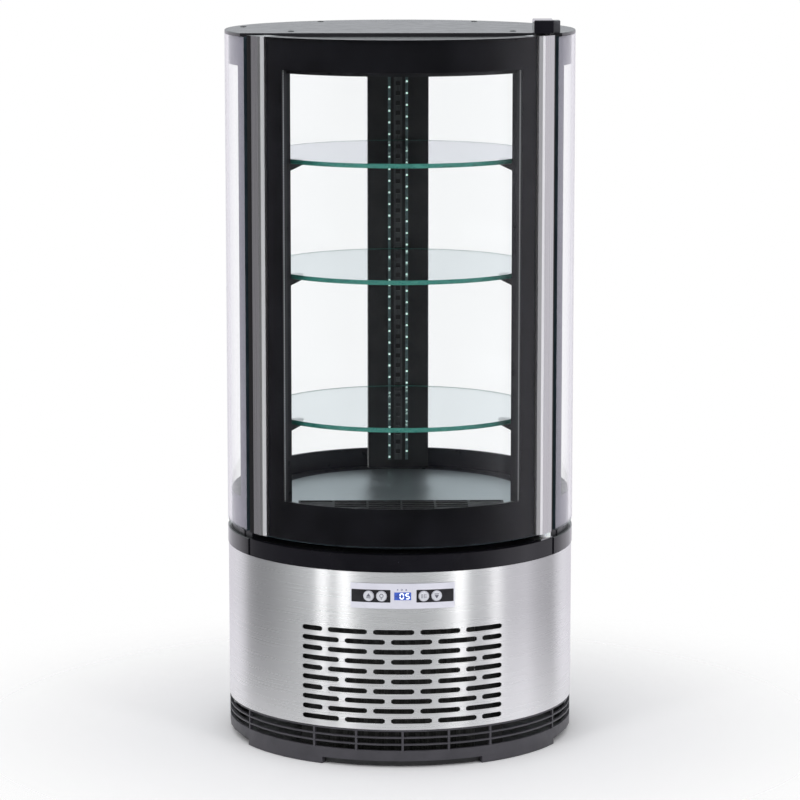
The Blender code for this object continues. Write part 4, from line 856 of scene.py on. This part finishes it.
# Top
# Foam-filled black housing over the chamber, and a gloss black plate with a straight front
# edge on it. Six low black screws with cross recesses hold the plate down.
dress("top_housing", satin_black, turned=True)
top_gloss = new_finish("top_gloss", (0.016, 0.015, 0.018), 0.24)
colours(top_gloss, grain(top_gloss, 14), (0.013, 0.012, 0.015), (0.020, 0.019, 0.023))
gloss(top_gloss, grain(top_gloss, 60, detail=4.0), 0.22, 0.27)
relief(top_gloss, grain(top_gloss, 30), 0.00001, 0.3)
dress("top_plate", top_gloss, turned=True)
black_screw = new_finish("black_screw", (0.020, 0.020, 0.022), 0.36, 0.4)
colours(black_screw, grain(black_screw, 800), (0.014, 0.014, 0.016), (0.030, 0.030, 0.033))
gloss(black_screw, grain(black_screw, 1300), 0.30, 0.44)
plate_screw = screw_mesh(radius=0.0045, rise=0.0012)
plate_screw_sink = 0.0002
plate_screw_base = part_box("top_plate")[1].z - plate_screw_sink
plate_screw_places = (
    (-0.2157, 0.052), (-0.148, -0.062), (-0.110, 0.188),
    (0.108, 0.188), (0.152, -0.062), (0.2157, 0.052),
)
for index, (x, y) in enumerate(plate_screw_places):
    spot = Matrix.Translation((x, y, plate_screw_base))
    stand(f"plate_screw_{index}", plate_screw, black_screw, place=spot)


# Door
# A curved sealed glass unit between two extruded aluminium stiles, the left one grooved
# as the grip. A wide black print on the outer pane hides the spacer and the inner frame.
def maths(tree, operation, *values):
    """One step of arithmetic on sockets or numbers. Gives its output socket."""
    return wired(tree, "ShaderNodeMath", operation, *values)


def stile(name, smooth, rough, light_and_shade_tones):
    """Alloy brushed upright, its tone stepping at given angles off the case's front: painted light and
    shade.
    """
    made = new_finish(name, (0.6, 0.6, 0.6), smooth, 1.0, Anisotropic=0.4)
    brushed(made, 1800, 500, (1, 1, 0.006), (0.90, 0.89, 0.90), (1.0, 0.99, 1.0), smooth, rough)
    tree = made.node_tree
    east, north, _ = piece_spot(made)
    turn = maths(tree, "ARCTAN2", maths(tree, "ABSOLUTE", east), maths(tree, "MULTIPLY", north, -1))
    ramp = tree.nodes.new("ShaderNodeValToRGB")
    ramp.color_ramp.interpolation = "CONSTANT"
    for band, (angle, tone) in zip(ramp.color_ramp.elements, light_and_shade_tones):
        band.position = angle / 90
        band.color = (tone, tone, tone, 1)
    tree.links.new(maths(tree, "DIVIDE", turn, pi / 2), ramp.inputs["Fac"])
    toned(made, ramp.outputs["Color"])
    return made


def bevelled(face):
    """Whether a face is the slanting bevel of a stile."""
    return 0.93 < wall_facing(face) < 0.99


def level_edge(face):
    """Whether a face is the cut head or foot of the door's glass."""
    return abs(face.normal.z) > 0.5


# The tone steps given to each stile are painted light and shade: each face and bevel is lighter or darker as
# the room lights it, and the near-black band at the outer edge of each face is a painted shadow of the gap
# beside the side glass.
grip_face = stile("grip_face", 0.25, 0.32, ((0, 0.50), (56.9, 0.03)))
grip_bevel = stile("grip_bevel", 0.50, 0.60, ((0, 0.68), (51.7, 0.22)))
hinge_face = stile("hinge_face", 0.25, 0.32, ((0, 0.76), (58.7, 0.03)))
hinge_bevel = stile("hinge_bevel", 0.50, 0.60, ((0, 0.40), (51.8, 0.85)))
dress("door_handle_profile", grip_face, rim=grip_bevel, on_rim=bevelled, crease=6)
dress("door_hinge_profile", hinge_face, rim=hinge_bevel, on_rim=bevelled, crease=6)
for name in ("door_glass_outer", "door_glass_inner"):
    dress(name, pane_glass, turned=True, rim=pane_edge, on_rim=level_edge)
dress("door_frame", satin_black, turned=True)
ceramic_print = new_finish("ceramic_print", (0.012, 0.012, 0.014), 0.5, Specular_IOR_Level=0.0)
colours(ceramic_print, grain(ceramic_print, 20), (0.005, 0.005, 0.006), (0.009, 0.009, 0.011))
door_low, door_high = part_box("door_glass_outer")
door_wall = wall_flats("door_glass_outer", inside=True)
glass_end = door_wall[1][-1] - edge_angle
window_end, window_foot, window_head = 43.1, 0.3523, 0.9319
border = block(-glass_end, glass_end, door_low.z + edge_inset, door_high.z - edge_inset)
hole = block(-window_end, window_end, window_foot, window_head)
outlines = [border, hole]
film("door_print", outlines, door_wall, print_lift, print_thickness, ceramic_print, "door")


# Spacer and seal of the door
# The spacer is a dark roll-formed aluminium bar with a bare row of fine perforations.
# The seal is a soft black magnetic gasket pressed into the frame all round.
spacer_bar = new_finish("spacer_bar", (0.05, 0.05, 0.055), 0.40, 0.5)
tree = spacer_bar.node_tree
east, north, height = piece_spot(spacer_bar)
squares = [maths(tree, "MULTIPLY", part, part) for part in (east, north)]
reach = maths(tree, "SQRT", maths(tree, "ADD", *squares))
row_radius, row_half, hole_pitch, bare_share, hole_tone = 0.2225, 0.0010, 0.0034, 0.5, 0.25
in_row = maths(tree, "COMPARE", reach, row_radius, row_half)
round_way = maths(tree, "MULTIPLY", maths(tree, "ARCTAN2", east, north), row_radius)
along = maths(tree, "DIVIDE", maths(tree, "ADD", height, round_way), hole_pitch)
bare = maths(tree, "LESS_THAN", maths(tree, "FRACT", along), bare_share)
dots = maths(tree, "MULTIPLY", in_row, maths(tree, "MAXIMUM", bare, hole_tone))
colours(spacer_bar, dots, (0.030, 0.031, 0.034), (0.50, 0.52, 0.53), 0.0, 1.0)
dress("door_spacer", spacer_bar, turned=True)
soft_rubber = new_finish("soft_rubber", (0.022, 0.022, 0.023), 0.62)
colours(soft_rubber, grain(soft_rubber, 40), (0.018, 0.018, 0.019), (0.028, 0.028, 0.030))
gloss(soft_rubber, grain(soft_rubber, 160), 0.54, 0.70)
relief(soft_rubber, grain(soft_rubber, 700), 0.00008)
dress("door_gasket", soft_rubber, turned=True)


# Hinges
# A plated steel plate with the lower pin, a white nylon bush that the door stands on,
# and a gloss black bracket over the top plate, grey at its end, that holds the upper pin.
plated_steel = new_finish("plated_steel", (0.30, 0.30, 0.31), 0.40, 0.95)
colours(plated_steel, grain(plated_steel, 60, detail=4.0), (0.22, 0.22, 0.23), (0.38, 0.38, 0.39))
gloss(plated_steel, grain(plated_steel, 90), 0.32, 0.50)
dress("hinge_bracket_lower", plated_steel)
white_nylon = new_finish("white_nylon", (0.80, 0.80, 0.80), 0.42, Subsurface_Weight=0.1)
colours(white_nylon, grain(white_nylon, 200), (0.84, 0.83, 0.84), (0.90, 0.89, 0.90))
gloss(white_nylon, grain(white_nylon, 500), 0.36, 0.48)
dress("hinge_bush", white_nylon)
cap_grey = new_finish("cap_grey", (0.075, 0.075, 0.085), 0.34)
colours(cap_grey, grain(cap_grey, 90), (0.065, 0.065, 0.074), (0.085, 0.085, 0.096))
gloss(cap_grey, grain(cap_grey, 400), 0.28, 0.40)
cap_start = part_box("hinge_bracket_top")[1].x - 0.0096


def on_cap(face):
    """Whether a face is on the end cap of the top bracket."""
    return face.center.x > cap_start


dress("hinge_bracket_top", piano_black, rim=cap_grey, on_rim=on_cap)


# Studio
# A white floor that fades out round the case, under three soft boxes. Steel and black parts
# mirror a room drawn as levels of brightness round the horizon, with narrow tubes in it that
# give the upright streaks. Past the case and through its glass all is plain white.
floor_radius, floor_drop, fade_start, fade_end = 1.3, 0.0005, 0.20, 0.80
bm = bmesh.new()
bmesh.ops.create_circle(bm, cap_ends=True, segments=96, radius=floor_radius)
floor = placed("floor", mesh_of("floor", bm))
floor_paint = new_finish("floor_paint", (0.92, 0.92, 0.93), 0.9, Specular_IOR_Level=0.1)
tree = floor_paint.node_tree
away = wired(tree, "ShaderNodeVectorMath", "LENGTH", own_metres(floor_paint))
fade = wired(tree, "ShaderNodeMapRange", None, away, fade_start, fade_end, out="Result")
fade.node.interpolation_type = "SMOOTHSTEP"
clear = tree.nodes.new("ShaderNodeBsdfTransparent").outputs["BSDF"]
painted = shader_of(floor_paint).outputs["BSDF"]
faded = wired(tree, "ShaderNodeMixShader", None, fade, painted, clear, out="Shader")
tree.links.new(faded, tree.nodes["Material Output"].inputs["Surface"])
floor.data.materials.append(floor_paint)
floor.location.z = -floor_drop

studio = bpy.data.worlds.new("studio")
bpy.context.scene.world = studio
studio.use_nodes = True
tree = studio.node_tree
sky = tree.nodes["Background"]
sky.inputs["Strength"].default_value = 1.0
split = tree.nodes.new("ShaderNodeSeparateXYZ")
tree.links.new(tree.nodes.new("ShaderNodeTexCoord").outputs["Generated"], split.inputs["Vector"])
front = maths(tree, "MULTIPLY", split.outputs["Y"], -1)
turn = maths(tree, "ARCTAN2", split.outputs["X"], front)
share = wired(tree, "ShaderNodeMapRange", None, turn, -pi, pi, 0, 1, out="Result")


def round_levels(tint, levels):
    """Brightness round the case, from (angle, strength) pairs, in one tint."""
    view = tree.nodes.new("ShaderNodeValToRGB")
    stops = view.color_ramp.elements
    for angle, strength in levels[1:-1]:
        stops.new((angle + 180) / 360)
    for stop, (angle, strength) in zip(stops, levels):
        stop.position = (angle + 180) / 360
        stop.color = (*(strength * part for part in tint), 1)
    tree.links.new(share, view.inputs["Fac"])
    return view.outputs["Color"]


level_view = round_levels(
    (0.98, 0.955, 1.03),
    (
        (-180, 0.84), (-138, 0.90), (-128, 0.70), (-122, 0.36), (-112, 0.24), (-84, 0.13),
        (-55, 0.09), (-26, 0.05), (0, 0.04), (26, 0.05), (45, 0.20), (60, 0.50),
        (76, 1.00), (92, 1.15), (104, 0.78), (122, 0.52), (138, 0.90), (180, 0.84),
    ),
)
room = round_levels(
    (0.98, 1.0, 1.02),
    (
        (-180, 0.97), (-168, 0.97), (-158, 2.17), (-140, 1.34), (-126, 0.66), (-115, 0.44),
        (-102, 0.62), (-84, 1.38), (-66, 2.20), (-50, 2.02), (-30, 2.02), (-20, 1.68),
        (0, 1.63), (16, 1.66), (24, 2.05), (34, 2.25), (50, 1.90), (58, 1.44), (74, 1.02),
        (84, 0.28), (104, 0.00), (122, 0.14), (128, 0.18), (139, 2.25), (158, 2.77),
        (168, 0.97), (180, 0.97),
    ),
)
tubes = round_levels(
    (1.0, 1.0, 1.0),
    (
        (-180, 0.00), (-62, 0.00), (-58, 4.90), (-55, 4.90), (-50, 0.00), (-46, 0.30),
        (-42, 3.80), (-39, 3.80), (-34, 0.00), (36, 0.00), (40, 3.85), (44, 3.80),
        (49, 0.00), (63, 0.00), (67, 3.15), (71, 3.15), (76, 0.00), (180, 0.00),
    ),
)
low_view = wired(tree, "ShaderNodeVectorMath", "ADD", room, tubes, out="Vector")
overhead, white, even_light = (0.76, 0.81, 0.83, 1), (1.0, 1.0, 1.0, 1), (0.79, 0.79, 0.80, 1)
slope = split.outputs["Z"]
upward = wired(tree, "ShaderNodeMapRange", None, slope, 0.075, 0.11, 0, 1, out="Result")
downward = wired(tree, "ShaderNodeMapRange", None, slope, -0.24, -0.42, 0, 1, out="Result")
below = blended(tree, "MIX", downward, level_view, low_view)
mirrored = blended(tree, "MIX", upward, below, overhead)
rays = tree.nodes.new("ShaderNodeLightPath").outputs
bounced = maths(tree, "GREATER_THAN", rays["Glossy Depth"], 0.5)
through = maths(tree, "MAXIMUM", rays["Is Glossy Ray"], rays["Is Transmission Ray"])
seen = maths(tree, "MAXIMUM", rays["Is Camera Ray"], through)
shown = blended(tree, "MIX", bounced, white, mirrored)
tree.links.new(blended(tree, "MIX", seen, even_light, shown), sky.inputs["Color"])


def soft_box(name, angle, distance, height, size, power):
    """A rectangular lamp round the case, aimed at its middle."""
    lamp = bpy.data.lights.new(name, "AREA")
    lamp.shape = "RECTANGLE"
    lamp.size, lamp.size_y = size
    lamp.energy = power
    item = placed(name, lamp)
    item.location = at(angle, distance, height)
    middle = Vector((0, 0, 0.5))
    item.rotation_euler = (middle - item.location).to_track_quat("-Z", "Y").to_euler()


soft_box("left_box", -35.5, 3.0, 2.3, (0.62, 2.4), 15.0)
soft_box("right_box", 35.5, 3.0, 2.3, (0.62, 2.4), 15.0)
soft_box("top_box", -20, 2.4, 3.4, (2.0, 2.0), 14.0)

bpy.context.scene.view_settings.view_transform = "Standard"
rays_allowed = 24
cycles = bpy.context.scene.cycles
cycles.max_bounces = rays_allowed
cycles.transmission_bounces = rays_allowed
cycles.transparent_max_bounces = rays_allowed

camera_angle, camera_distance, camera_height, camera_tilt = -0.85, 4.9, 1.246, 9.08
lens = bpy.data.cameras.new("camera")
lens.sensor_width = 36.0
lens.lens = 160.6
camera = placed("camera", lens)
camera.location = at(camera_angle, camera_distance, camera_height)
camera.rotation_euler = (radians(90 - camera_tilt), 0, radians(camera_angle))
bpy.context.scene.camera = camera
